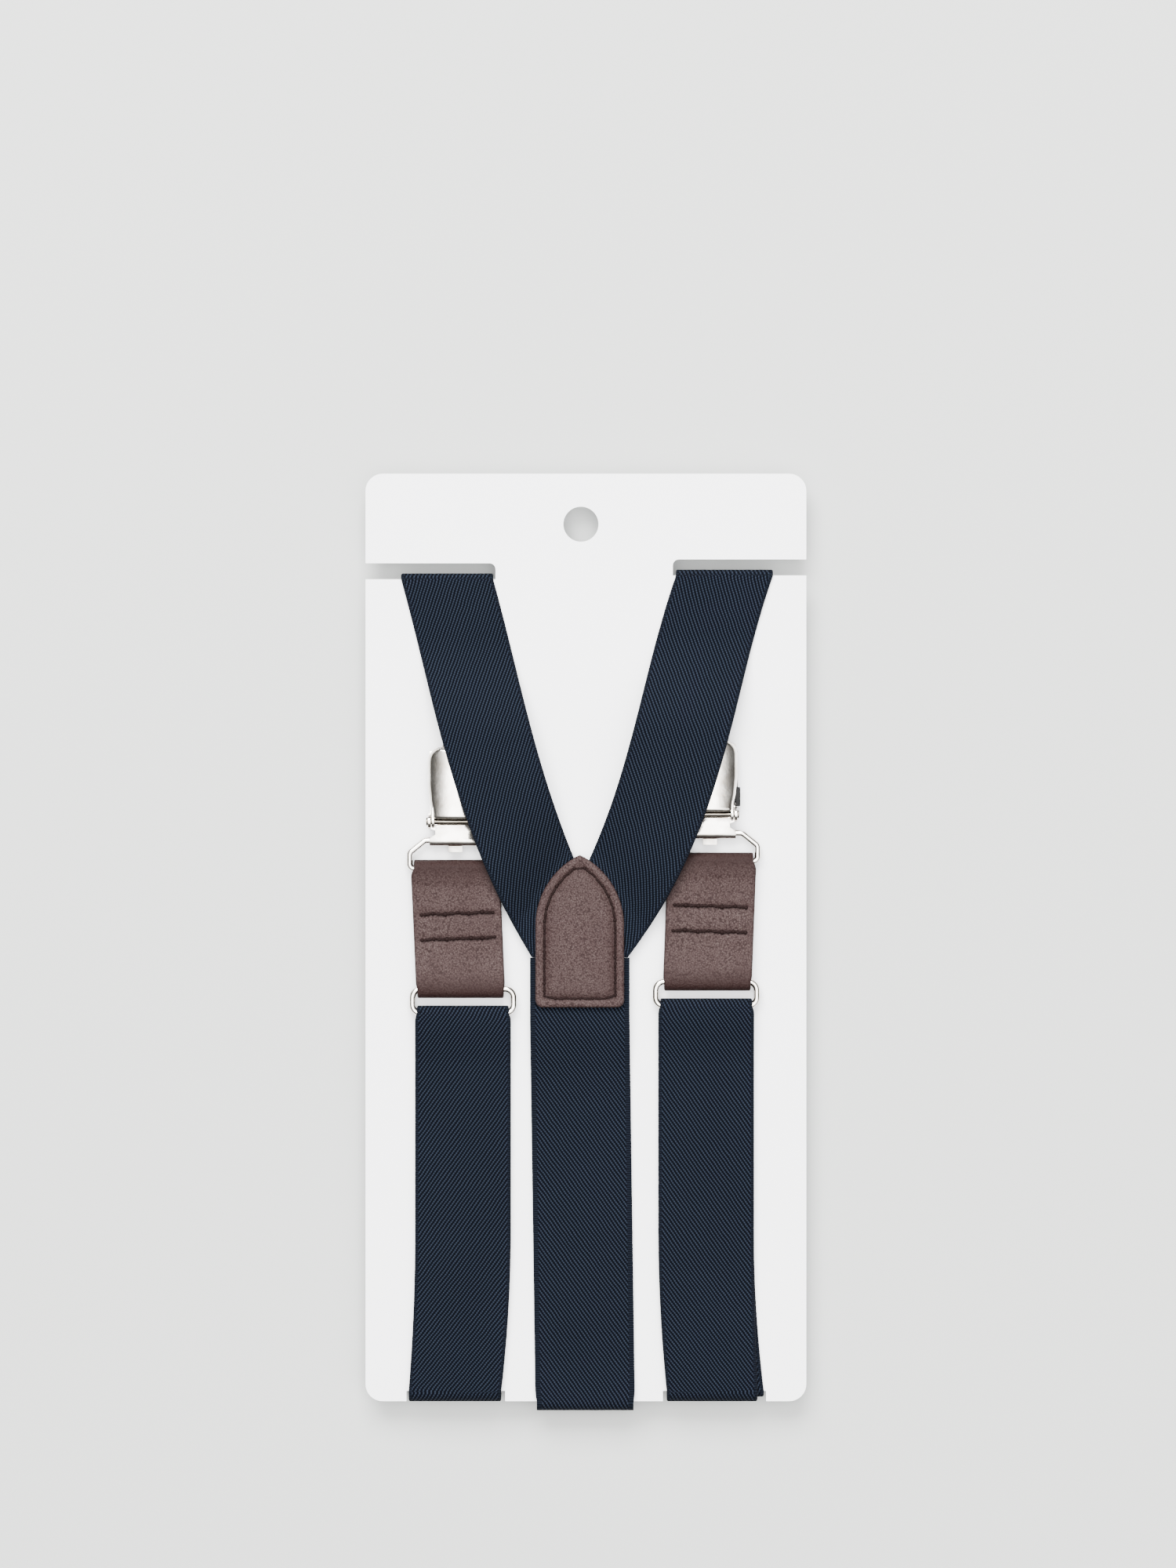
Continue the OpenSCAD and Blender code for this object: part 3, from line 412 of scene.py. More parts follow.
def thread(start, end, up, radius, arch, turns=1.5, sides=10, steps=14, phase=0.0):
    """Points and faces of one twisted stitch that rises out of the surface and goes back in."""
    start, end, up = (np.asarray(v, float) for v in (start, end, up))
    along = unit(end - start)
    side = np.cross(up, along)
    points = []
    for i in range(steps + 1):
        t = i / steps
        bow = math.sin(math.pi * t)
        rise = arch * bow ** 0.7 - 0.7 * radius * (1 - bow)
        middle = start + (end - start) * t + up * rise
        size = radius * (0.5 + 0.5 * bow ** 0.6)
        for k in range(sides):
            a = 2 * math.pi * k / sides
            ply = 1 + 0.26 * math.cos(2 * (a - 2 * math.pi * turns * t - phase))
            points.append(middle + size * ply * (math.cos(a) * side + math.sin(a) * up))
    return points, tube_faces(steps, sides)


def stitches(name, holes, up, radius, arch, material, place, knots=True, closed=False):
    """Stitches from hole to hole, with a small lump of thread at each hole."""
    points, faces = [], []
    pairs = list(zip(holes, holes[1:] + (holes[:1] if closed else [])))

    def take(more, polygons):
        base = len(points)
        points.extend(more)
        faces.extend(tuple(base + i for i in f) for f in polygons)

    for i, (a, b) in enumerate(pairs):
        a, b = np.asarray(a, float), np.asarray(b, float)
        wobble = 0.08 * math.sin(5.1 * i + len(name))
        side = np.cross(np.asarray(up, float), unit(b - a)) * wobble
        take(*thread(a + side, b - side, up, radius, arch, phase=1.7 * i))
    if knots:
        for i, hole in enumerate(holes):
            lump = radius * (1.6 + 0.3 * math.sin(2.3 * i + len(name)))
            take(*knot(np.asarray(hole, float), np.asarray(up, float), lump))
    return new_object(name, place(np.array(points)), faces, None, material, 60)


def knot(centre, up, radius, rings=5, sides=8):
    side = unit(np.cross(up, [0.3, 1.0, 0.2]))
    other = np.cross(up, side)
    points = []
    for i in range(rings + 1):
        a = math.pi * (i / rings) - math.pi / 2
        for k in range(sides):
            b = 2 * math.pi * k / sides
            bump = 1 + 0.16 * math.cos(3 * b + 2.1 * i)
            flat = radius * max(0.04, math.cos(a)) * bump
            spoke = flat * (math.cos(b) * side + math.sin(b) * other)
            points.append(centre + spoke + 0.85 * radius * math.sin(a) * up)
    return points, tube_faces(rings, sides)


# ---- materials ----

class Shader:
    """A Principled material with small helpers for building its node tree."""

    def __init__(self, name):
        self.material = bpy.data.materials.new(name)
        self.material.use_nodes = True
        self.tree = self.material.node_tree
        self.tree.nodes.clear()
        output = self.add("ShaderNodeOutputMaterial")
        self.surface = self.add("ShaderNodeBsdfPrincipled")
        self.tree.links.new(self.surface.outputs["BSDF"], output.inputs["Surface"])

    def add(self, kind, **settings):
        node = self.tree.nodes.new(kind)
        for key, value in settings.items():
            setattr(node, key, value)
        return node

    def feed(self, socket, value):
        if isinstance(value, bpy.types.NodeSocket):
            self.tree.links.new(value, socket)
        elif isinstance(value, (tuple, list)) and len(value) == 3 and socket.type == "RGBA":
            socket.default_value = (*value, 1.0)
        else:
            socket.default_value = value

    def set(self, name, value):
        self.feed(self.surface.inputs[name], value)

    def rough(self, value, spread, base):
        self.set("Roughness", self.plus(self.times(value, spread), base))

    def calc(self, operation, a, b=None, clamp=False):
        node = self.add("ShaderNodeMath", operation=operation, use_clamp=clamp)
        self.feed(node.inputs[0], a)
        if b is not None:
            self.feed(node.inputs[1], b)
        return node.outputs[0]

    def times(self, a, b):
        return self.calc("MULTIPLY", a, b)

    def plus(self, a, b):
        return self.calc("ADD", a, b)

    def blend(self, factor, a, b):
        node = self.add("ShaderNodeMix", data_type="RGBA")
        self.feed(node.inputs[0], factor)
        self.feed(node.inputs[6], a)
        self.feed(node.inputs[7], b)
        return node.outputs[2]

    def scale_range(self, value, low, high, to_low, to_high):
        node = self.add("ShaderNodeMapRange", interpolation_type="SMOOTHSTEP")
        for i, v in enumerate((value, low, high, to_low, to_high)):
            self.feed(node.inputs[i], v)
        return node.outputs[0]

    def place(self, kind="Object"):
        return self.add("ShaderNodeTexCoord").outputs[kind]

    def noise(self, coords, scale, detail=3.0, rough=0.55):
        node = self.add("ShaderNodeTexNoise")
        self.feed(node.inputs["Vector"], coords)
        self.feed(node.inputs["Scale"], scale)
        self.feed(node.inputs["Detail"], detail)
        self.feed(node.inputs["Roughness"], rough)
        return node.outputs[0]

    def cells(self, coords, scale, feature="F1"):
        node = self.add("ShaderNodeTexVoronoi", feature=feature)
        self.feed(node.inputs["Vector"], coords)
        self.feed(node.inputs["Scale"], scale)
        return node.outputs["Distance"]

    def bump(self, height, distance, strength=1.0, under=None):
        node = self.add("ShaderNodeBump")
        self.feed(node.inputs["Height"], height)
        node.inputs["Distance"].default_value = distance
        node.inputs["Strength"].default_value = strength
        if under is not None:
            self.feed(node.inputs["Normal"], under)
        return node.outputs[0]

    def split_uv(self):
        node = self.add("ShaderNodeSeparateXYZ")
        self.feed(node.inputs[0], self.add("ShaderNodeUVMap", uv_map="UVMap").outputs[0])
        return (self.times(node.outputs[0], TEXTURE_SPAN),
                self.times(node.outputs[1], TEXTURE_SPAN))


# The light is strong enough for the card to read as white under the renderer's view transform. The elastic,
# leather, thread and rubber are dimmed to match it. The card, floor and metals are not, so under ordinary
# light the dimmed materials look too dark beside them.
LIGHT_LEVEL = 6.7


def dim(r, g, b):
    return (r / LIGHT_LEVEL, g / LIGHT_LEVEL, b / LIGHT_LEVEL)


RIB_PITCH = 0.845
DASH_PITCH = 0.60
RIB_ANGLE = math.radians(55)


def elastic(name, hand):
    """Diagonal ribs broken into short dashes; hand is 1 or -1 for which way they lean."""
    s = Shader(name)
    u, v = s.split_uv()
    where = s.place()
    drift = s.times(s.calc("SUBTRACT", s.noise(where, 260, 2), 0.5), 0.5)
    fine = s.noise(where, 2600, 2)

    def wave(a, b, pitch, extra):
        line = s.plus(s.times(u, a / pitch), s.times(v, b / pitch))
        phase = s.times(s.plus(line, extra), 2 * math.pi)
        return s.plus(s.times(s.calc("COSINE", phase), 0.5), 0.5)

    rib = wave(hand * math.sin(RIB_ANGLE), -math.cos(RIB_ANGLE), RIB_PITCH, drift)
    dash = wave(hand * math.cos(RIB_ANGLE), math.sin(RIB_ANGLE), DASH_PITCH, s.times(drift, -1.0))
    weave = s.times(rib, s.plus(s.times(dash, 0.52), 0.48))
    edge = s.scale_range(s.calc("ABSOLUTE", u), STRAP_W / 2 - 1.0, STRAP_W / 2 - 0.7, 0.0, 1.0)
    cord = s.times(s.calc("COSINE", s.times(v, 2 * math.pi / DASH_PITCH)), 0.12)
    height = s.plus(s.times(weave, s.calc("SUBTRACT", 1.0, edge)),
                    s.times(s.plus(cord, 0.34), edge))
    patchy = s.noise(where, 55, 3)
    light = s.blend(patchy, dim(0.050, 0.073, 0.128), dim(0.072, 0.100, 0.168))
    light = s.blend(s.times(fine, 0.6), light, dim(0.108, 0.138, 0.195))
    dark = s.blend(patchy, dim(0.0015, 0.003, 0.009), dim(0.003, 0.005, 0.014))
    colour = s.blend(s.scale_range(height, 0.14, 0.90, 0.0, 1.0), dark, light)
    s.set("Base Color", colour)
    s.rough(fine, 0.15, 0.72)
    s.set("Specular IOR Level", 0.03)
    s.set("Sheen Weight", 0.012)
    s.set("Sheen Roughness", 0.5)
    under = s.bump(fine, 0.00006, 0.5)
    s.set("Normal", s.bump(height, 0.00022, 0.8, under))
    return s.material


def leather():
    s = Shader("leather")
    where = s.place()
    wander = s.noise(where, 420, 3)
    warp = s.add("ShaderNodeVectorMath", operation="ADD")
    s.feed(warp.inputs[0], where)
    shift = s.add("ShaderNodeVectorMath", operation="SCALE")
    spread = s.add("ShaderNodeCombineXYZ")
    s.feed(spread.inputs[0], wander)
    s.feed(spread.inputs[1], s.noise(where, 380, 2))
    s.feed(shift.inputs[0], spread.outputs[0])
    shift.inputs["Scale"].default_value = 0.0007
    s.feed(warp.inputs[1], shift.outputs[0])
    grain = s.cells(warp.outputs[0], 2300)
    pores = s.noise(warp.outputs[0], 4200, 3, 0.6)
    cloud = s.noise(where, 130, 4)
    pebble = s.calc("SUBTRACT", 1.0, grain, clamp=True)
    height = s.plus(s.times(pebble, 0.75), s.times(pores, 0.5))
    mottle = s.scale_range(cloud, 0.3, 0.7, 0.0, 1.0)
    base = s.blend(mottle, dim(0.185, 0.113, 0.110), dim(0.215, 0.138, 0.134))
    raised = s.blend(mottle, dim(0.330, 0.240, 0.226), dim(0.400, 0.305, 0.285))
    colour = s.blend(s.scale_range(height, 0.66, 0.98, 0.0, 1.0), base, raised)
    low = s.blend(s.scale_range(height, 0.40, 0.60, 1.0, 0.0), colour, dim(0.105, 0.058, 0.057))
    # painted shade: a vertex attribute darkens the leather where it folds, in seams and in recesses
    stress = s.add("ShaderNodeAttribute", attribute_name="stress")
    colour = s.blend(s.times(stress.outputs["Fac"], 0.9), low, dim(0.075, 0.034, 0.032))
    s.set("Base Color", colour)
    s.rough(pores, 0.2, 0.40)
    s.set("Specular IOR Level", 0.05)
    s.set("Normal", s.bump(height, 0.00020, 0.8, s.bump(cloud, 0.0006, 0.4)))
    return s.material


def metal(name, dark, bright):
    s = Shader(name)
    where = s.place()
    stretch = s.add("ShaderNodeMapping")
    s.feed(stretch.inputs["Vector"], where)
    stretch.inputs["Scale"].default_value = (1.0, 0.12, 1.0)
    brushed = s.noise(stretch.outputs[0], 5200, 4, 0.6)
    cloud = s.noise(where, 240, 3)
    s.set("Metallic", 1.0)
    s.set("Base Color", s.blend(s.scale_range(cloud, 0.3, 0.7, 0.0, 1.0), dark, bright))
    rough = s.plus(s.times(brushed, 0.12), s.times(cloud, 0.12))
    s.set("Roughness", s.plus(rough, 0.06))
    s.set("Normal", s.bump(cloud, 0.00025, 0.35, s.bump(brushed, 0.00001, 0.5)))
    return s.material


def cardboard():
    s = Shader("card")
    where = s.place()
    fibre = s.noise(where, 1500, 4, 0.65)
    cloud = s.noise(where, 40, 3)
    s.set("Base Color", s.blend(s.times(cloud, 0.7), (0.87, 0.875, 0.90), (0.915, 0.92, 0.945)))
    s.rough(fibre, 0.2, 0.5)
    s.set("Specular IOR Level", 0.35)
    s.set("Normal", s.bump(fibre, 0.00004, 0.35, s.bump(cloud, 0.0015, 0.12)))
    return s.material


def cotton():
    s = Shader("thread")
    where = s.place()
    fuzz = s.noise(where, 5200, 3)
    s.set("Base Color", s.blend(fuzz, dim(0.020, 0.009, 0.009), dim(0.085, 0.042, 0.040)))
    s.rough(fuzz, 0.2, 0.6)
    s.set("Specular IOR Level", 0.06)
    s.set("Normal", s.bump(fuzz, 0.00005, 0.6))
    return s.material


def rubber():
    s = Shader("pad")
    where = s.place()
    grain = s.noise(where, 1800, 3)
    s.set("Base Color", s.blend(grain, dim(0.014, 0.014, 0.015), dim(0.034, 0.034, 0.036)))
    s.rough(grain, 0.25, 0.45)
    s.set("Specular IOR Level", 0.15)
    s.set("Normal", s.bump(grain, 0.00006, 0.5))
    return s.material


LEFT_WEAVE = elastic("elastic_left", 1)
RIGHT_WEAVE = elastic("elastic_right", -1)
LEATHER = leather()
NICKEL = metal("nickel", (0.58, 0.54, 0.49), (0.74, 0.71, 0.67))
# the pin is a darker warm metal, made darker still as painted shade for the gap under the cover
PIN_METAL_SHADED = metal("pin_steel", (0.10, 0.088, 0.07), (0.20, 0.18, 0.15))
CARD = cardboard()
THREAD = cotton()
PAD = rubber()


def stress(obj, values):
    """How far painted shade darkens the leather at each vertex, 0 to 1."""
    layer = obj.data.attributes.new("stress", "FLOAT", "POINT")
    layer.data.foreach_set("value", np.asarray(values, np.float32))


# ---- the yoke straps ----

def yoke_in(side, y):
    t = (side.fold_y - y) / (side.fold_y - YOKE_END_Y)
    return side.slant * t + side.bow * t ** 2 + (1 - side.slant - side.bow) * t ** 3


def outer_edge(side, y):
    top = YOKE_MID_X + side.sign * YOKE_SPREAD / 2
    end = PATCH_X + side.sign * STRAP_W / 2
    return top + (end - top) * yoke_in(side, y)


def yoke_edges(side, y):
    """Left and right edge of a yoke strap at height y, cut off where the two meet."""
    out = outer_edge(side, y)
    inner = out - side.sign * side.yoke_w
    limit = PATCH_X + side.sign * NEAR
    inner = np.minimum(inner, limit) if side.sign < 0 else np.maximum(inner, limit)
    return (out, inner) if side.sign < 0 else (inner, out)


def from_patch(side, x, y):
    """Distance from the patch's edge, along the strap's rise."""
    ahead = side.sign * (x - PATCH_X - side.sign * RAMP_X) * math.cos(RAMP_ANGLE)
    return ahead + (y - RAMP_Y) * math.sin(RAMP_ANGLE)


def yoke_height(side, x, y):
    rise = np.clip((from_patch(side, x, y) - RISE_START) / (side.ramp - RISE_START), 0, 1)
    level = IN_PATCH + (OVER_CLIP - IN_PATCH) * np.sin(rise * math.pi / 2)
    fall = np.clip((y - side.span_y) / SPAN_GLIDE, 0, 1)
    down = (1 - np.cos(math.pi * fall)) / 2
    return level + (ON_FRONT - OVER_CLIP) * down


def yoke_piece(name, side, y0, y1, v_start, material):
    ys = np.linspace(y0, y1, max(8, int(abs(y1 - y0) / 1.1)))
    left, right = yoke_edges(side, ys)
    share, height = edge_profile(STRAP_W, EDGE_R, 6, 34)
    x = left[:, None] + (right - left)[:, None] * share[None, :]
    y = np.repeat(ys[:, None], len(share), axis=1)
    z = yoke_height(side, x, y)
    out = outer_edge(side, ys)
    centre = out - side.sign * side.yoke_w / 2
    v = v_start + lengths(np.stack([centre, ys], axis=1))
    slope = np.arctan(np.gradient(centre) / np.gradient(ys))[:, None]
    offset = x - centre[:, None]
    squeeze = STRAP_W / side.yoke_w
    uv = np.stack([offset * squeeze, v[:, None] + offset * np.sin(slope)], axis=2)
    piece = slab(name, np.stack([x, y, z], axis=2), height * STRAP_T / 2, uv, material)
    return piece, v[-1]


# ---- the straps that wrap the card ----

def ease_in(y, reach, start=FOOT_Y):
    """1 at start and below it, falling to 0 at reach above it."""
    return np.clip(1 - (y - start) / reach, 0, 1) ** 2


def ring_width(side_ring_y, y, full):
    """The strap is drawn in a little where it folds round the ring."""
    near = np.clip(1 - (side_ring_y - y) / RING_SQUEEZE_L, 0, 1)
    return full - RING_SQUEEZE * near ** 2


def wrapped_strap(side, material, v_start):
    adjuster_low, adjuster_high = box_mm(side.name + "_adjuster")
    adjuster_y = (adjuster_low[1] + adjuster_high[1]) / 2
    over = adjuster_high[1] + ADJUSTER_REACH
    under = adjuster_y - ADJUSTER_GLIDE
    run_depth = REST + STRAP_T / 2 + 2 * LOOP_R + STRAP_T + CLEAR
    z_run = CARD_BACK - run_depth
    foot = FOOT_Y + BOTTOM_NOTCH
    start_y = side.fold_y - YOKE_TAIL
    out = outer_edge(side, side.fold_y)
    fold_centre = out - side.sign * side.yoke_w / 2
    drift_y = FOOT_Y + DRIFT_START
    fold_r = side.ring_r + NEAR + STRAP_T / 2
    front_end = side.ring_y - RING_GLIDE
    ring_top = side.ring_z + fold_r

    runs = [
        ("yoke", straight([start_y, ON_FRONT], [side.fold_y, ON_FRONT], 8)),
        ("fold", arc([side.fold_y, CARD_MID], INNER, 90, -90, 22)),
        ("back", glide([side.fold_y, ON_BACK], [over, z_run], 90)),
        ("low", straight([over, z_run], [under, z_run], 50)),
        ("low", glide([under, z_run], [foot, CARD_MID - OUTER], 24)),
        ("foot", arc([foot, CARD_MID], OUTER, -90, -270, 30)),
        ("front", straight([foot, CARD_MID + OUTER], [front_end, CARD_MID + OUTER], 90)),
        ("front", glide([front_end, CARD_MID + OUTER], [side.ring_y, ring_top], 30)),
        ("ring", arc([side.ring_y, side.ring_z], fold_r, 90, -90, 22)),
        ("inner", glide([side.ring_y, side.ring_z - fold_r], [side.ring_y - TUCK_GLIDE, ON_FRONT], 24)),
        ("inner", straight([side.ring_y - TUCK_GLIDE, ON_FRONT], [foot, ON_FRONT], 70)),
        ("inner", arc([foot, CARD_MID], INNER, 90, 270, 20)),
        ("inner", straight([foot, ON_BACK], [side.run_start - NEAR, ON_BACK], 3)),
    ]
    line, left, right = [], [], []
    for kind, run in runs:
        skip = 1 if line else 0
        for y, z in run[skip:]:
            half = STRAP_W / 2
            if kind == "yoke":
                l, r = yoke_edges(side, np.array([y]))
                l, r = float(l[0]), float(r[0])
            elif kind == "fold":
                l, r = fold_centre - side.yoke_w / 2, fold_centre + side.yoke_w / 2
            elif kind in ("back", "low"):
                d = max(0.0, (y - drift_y) / (side.fold_y - drift_y))
                centre = side.foot_x + (fold_centre - side.foot_x) * d
                half = (STRAP_W + (side.yoke_w - STRAP_W) * d) / 2
                l, r = centre - half, centre + half
                blend = float(ease_in(y, BACK_LEAN, foot))
                l += blend * (side.front_x - STRAP_W / 2 + side.foot[0] - l)
                r += blend * (side.front_x + STRAP_W / 2 + side.foot[1] - r)
            elif kind == "foot":
                l = side.front_x - half + side.foot[0]
                r = side.front_x + half + side.foot[1]
            elif kind == "front":
                e = float(ease_in(y, FRONT_LEAN, foot))
                l = side.front_x - half + side.foot[0] * e
                r = side.front_x + half + side.foot[1] * e
                w = ring_width(side.ring_y, y, STRAP_W)
                l += (STRAP_W - w) / 2
                r -= (STRAP_W - w) / 2
            elif kind == "ring":
                l = side.front_x - half + RING_SQUEEZE / 2
                r = side.front_x + half - RING_SQUEEZE / 2
            else:
                e = float(ease_in(y, FRONT_LEAN, foot))
                shift = side.foot[2] * e
                w = ring_width(side.ring_y, y, STRAP_W) - INNER_TAPER * e
                l, r = side.front_x - w / 2 + shift, side.front_x + w / 2 + shift
            line.append([y, z])
            left.append(l)
            right.append(r)
    return band(side.name + "_shoulder_strap", line, left, right, STRAP_T, EDGE_R, material, v_start, 30)


def build_side(side, material):
    split = side.span_y - SPLIT_DROP
    over = side.fold_y - YOKE_TAIL
    lower, v = yoke_piece(side.name + "_yoke_strap", side, YOKE_END_Y, split, 0.0, material)
    upper, v = yoke_piece(side.name + "_yoke_span", side, split, over, v, material)
    wrapped = wrapped_strap(side, material, v)
    for piece, node in ((lower, "_yoke_strap"), (upper, "_yoke_span"), (wrapped, "_shoulder_strap")):
        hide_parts(side.name + node)
        piece.name = side.name + node + "_fabric"
    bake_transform(lower)
    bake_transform(upper)
    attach(wrapped, "card")

    run_line = straight([side.run_start, ON_BACK], [side.run_end, ON_BACK], 50)
    edges = np.ones(len(run_line)) * side.foot_x
    run = band(side.name + "_return_run_fabric", run_line, edges + STRAP_W / 2, edges - STRAP_W / 2,
               STRAP_T, EDGE_R, material, 0.0, 26)
    settle(run, side.name + "_return_run", "card")
    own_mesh(run)

    low, high = box_mm(side.name + "_adjuster")
    y = (low[1] + high[1]) / 2
    z = CARD_BACK - (REST + STRAP_T / 2 + LOOP_R)
    tail = ON_BACK - STRAP_T - NEAR
    loop_line = chain(
        straight([side.run_end + 2 * NEAR, ON_BACK], [y, z + LOOP_R], 16),
        arc([y, z], LOOP_R, 90, -90, 18),
        glide([y, z - LOOP_R], [y - LOOP_GLIDE, tail], 18),
        straight([y - LOOP_GLIDE, tail], [y - LOOP_END, tail], 3),
    )
    edges = np.ones(len(loop_line)) * side.foot_x
    loop = band(side.name + "_return_loop_fabric", loop_line, edges + STRAP_W / 2, edges - STRAP_W / 2,
                STRAP_T, EDGE_R, material, LOOP_WEAVE_START, 26)
    settle(loop, side.name + "_return_loop", side.name + "_slide")
    seam = side.name + "_loop_stitching"
    fold_stitches(seam, side.foot_x, y - LOOP_SEAM, tail - STRAP_T / 2, side.name + "_slide")


def fold_stitches(node, x, y, z, body):
    """A cross row of stitches through a folded end, on the side that faces the table."""
    count = int((STRAP_W - FOLD_MARGIN) // FOLD_PITCH)
    holes = [(x + (i - count / 2) * FOLD_PITCH, y, z) for i in range(count + 1)]
    piece = stitches(node + "_thread", holes, (0, 0, -1), *FOLD_THREAD, THREAD, lambda p: p, knots=False)
    settle(piece, node, body)


# ---- the centre strap ----

def build_centre(material):
    low, high = box_mm("back_ring")
    ring_r = (high[2] - low[2]) / 2
    ring_z = (high[2] + low[2]) / 2
    ring_y = low[1] + ring_r
    fold_r = ring_r + NEAR + STRAP_T / 2
    back_low = ON_BACK
    tail_y = ring_y - CENTRE_TAIL
    second = back_low - STRAP_T - 0.1
    foot = CARD_MID + CENTRE_FOLD_R
    runs = [
        ("front", straight([YOKE_END_Y - NEAR, IN_PATCH], [PATCH_Y - 1, IN_PATCH], 8)),
        ("front", glide([PATCH_Y - 1, IN_PATCH], [PATCH_Y - PATCH_GLIDE, ON_FRONT], 24)),
        ("front", straight([PATCH_Y - PATCH_GLIDE, ON_FRONT], [FOOT_Y + CENTRE_RISE, ON_FRONT], 70)),
        ("front", glide([FOOT_Y + CENTRE_RISE, ON_FRONT], [FOOT_Y, foot], 12)),
        ("foot", arc([FOOT_Y, CARD_MID], CENTRE_FOLD_R, 90, 270, 30)),
        ("back", glide([FOOT_Y, CARD_MID - CENTRE_FOLD_R], [FOOT_Y + CENTRE_RISE, back_low], 12)),
        ("back", straight([FOOT_Y + CENTRE_RISE, back_low], [tail_y - TAIL_GLIDE, back_low], 50)),
        ("back", glide([tail_y - TAIL_GLIDE, back_low], [tail_y - 1, second], 12)),
        ("back", straight([tail_y - 1, second], [ring_y - RING_GLIDE, second], 10)),
        ("back", glide([ring_y - RING_GLIDE, second], [ring_y, ring_z - fold_r], 30)),
        ("ring", arc([ring_y, ring_z], fold_r, -90, 90, 22)),
        ("back", glide([ring_y, ring_z + fold_r], [ring_y - TUCK_GLIDE, back_low], 24)),
        ("back", straight([ring_y - TUCK_GLIDE, back_low], [tail_y, back_low], 10)),
    ]
    foot_x = PATCH_X + CENTRE_FOOT_SHIFT
    line, left, right = [], [], []
    for kind, run in runs:
        for y, z in run[1 if line else 0:]:
            near_foot = min(1.0, (y - FOOT_Y) / CENTRE_LEAN)
            centre = foot_x + (PATCH_X - foot_x) * max(0.0, near_foot)
            width = STRAP_W - FOOT_TAPER * float(ease_in(y, 4.0))
            if kind == "ring":
                width = STRAP_W - RING_SQUEEZE
            elif y > ring_y - RING_SQUEEZE_L and kind == "back":
                width = float(ring_width(ring_y, y, STRAP_W))
            line.append([y, z])
            left.append(centre - width / 2)
            right.append(centre + width / 2)
    piece = band("centre_strap_fabric", line, right, left, STRAP_T, EDGE_R, material, 0.0, 30)
    settle(piece, "centre_strap", "card")
    fold_stitches("centre_fold_stitching", PATCH_X, ring_y - CENTRE_SEAM, second - STRAP_T / 2, "card")


# ---- the Y patch ----

def patch_ring(inset, r):
    """Outline of the patch pulled in by inset, with bottom corners of radius r."""
    h = PATCH_W / 2
    arch = PATCH_L - PATCH_SIDE
    arc_r = (h * h + arch * arch) / (2 * h)
    rr = arc_r - inset
    end = math.degrees(math.acos((arc_r - h) / rr))
    w = h - inset
    sides = 40
    right_arc = arc([h - arc_r, PATCH_SIDE], rr, 0, end, 34)
    left_arc = arc([arc_r - h, PATCH_SIDE], rr, 180 - end, 180, 34)
    points = np.concatenate([
        arc([-w + r, inset + r], r, 180, 270, 8),
        arc([w - r, inset + r], r, 270, 360, 8),
        straight([w, inset + r], [w, PATCH_SIDE], sides)[1:-1],
        right_arc,
        left_arc[1:],
        straight([-w, PATCH_SIDE], [-w, inset + r], sides)[1:-1],
    ])
    return points


def even_points(line, count):
    """count points spaced evenly along a closed line."""
    closed = np.concatenate([line, line[:1]])
    at = lengths(closed)
    want = np.linspace(0, at[-1], count, endpoint=False)
    return np.stack([np.interp(want, at, closed[:, 0]), np.interp(want, at, closed[:, 1])], axis=1)


STITCH_INSET = 2.35
PATCH_PITCH = 3.3


def build_patch():
    base = PATCH_LOW[2]
    full = LEATHER_T
    around = 360
    # the last value of each profile step is painted shade: darkest at the outer edge and in the stitch
    # channel, light on the rolled rim
    profile = [(0.0, 0.05, 0.4)]
    for k in range(7):
        a = math.radians(90 * k / 6)
        profile.append((0.75 * (1 - math.cos(a)), full - 0.65 + 0.75 * math.sin(a), 0.25 - 0.25 * k / 6))
    profile += [
        (1.15, full + 0.12, 0.0), (1.5, full + 0.06, 0.05), (1.85, full - 0.06, 0.15),
        (2.15, full - 0.24, 0.35), (2.4, full - 0.30, 0.5), (2.7, full - 0.26, 0.5),
        (3.05, full - 0.08, 0.4), (3.5, full + 0.10, 0.3), (4.0, full + 0.22, 0.2), (4.6, full + 0.34, 0.1),
    ]
    points, dark = [], []
    for inset, z, shade_level in profile:
        corner = max(0.35, 1.9 - inset * 0.5)
        ring = even_points(patch_ring(inset, corner), around)
        points += [[PATCH_X + x, PATCH_Y + y, base + z] for x, y in ring]
        dark += [shade_level] * around
    last = even_points(patch_ring(4.6, 0.35), around)
    middle = last.mean(axis=0)
    shells = 9
    for k in range(1, shells + 1):
        share = 1 - k / (shells + 0.35)
        ring = middle + (last - middle) * share
        z = full + 0.3 + 0.25 * (1 - share ** 2)
        points += [[PATCH_X + x, PATCH_Y + y, base + z] for x, y in ring]
        # painted shade that fades out towards the middle, leaving the padded middle lit
        dark += [0.12 * share] * around
    faces = tube_faces(len(profile) + shells - 1, around)
    front = new_object("patch_front_leather", points, faces, None, LEATHER, 60)
    stress(front, dark)
    settle(front, "patch_front", "card")

    back = softened("patch_back", "patch_back_leather", LEATHER, 0.3)
    # the back piece is darkened evenly all over
    stress(back, np.full(len(back.data.vertices), 0.2))
    settle(back, "patch_back", "card")

    line = patch_ring(STITCH_INSET, 0.7)
    at = lengths(np.concatenate([line, line[:1]]))
    count = int(round(at[-1] / PATCH_PITCH))
    z = base + full - 0.20
    holes = [(PATCH_X + x, PATCH_Y + y, z) for x, y in even_points(line, count)]
    seam = stitches("patch_thread", holes, (0, 0, 1), *PATCH_THREAD, THREAD, lambda p: p, closed=True)
    settle(seam, "patch_stitching", "card")


# ---- ring, tab, bail and clip ----

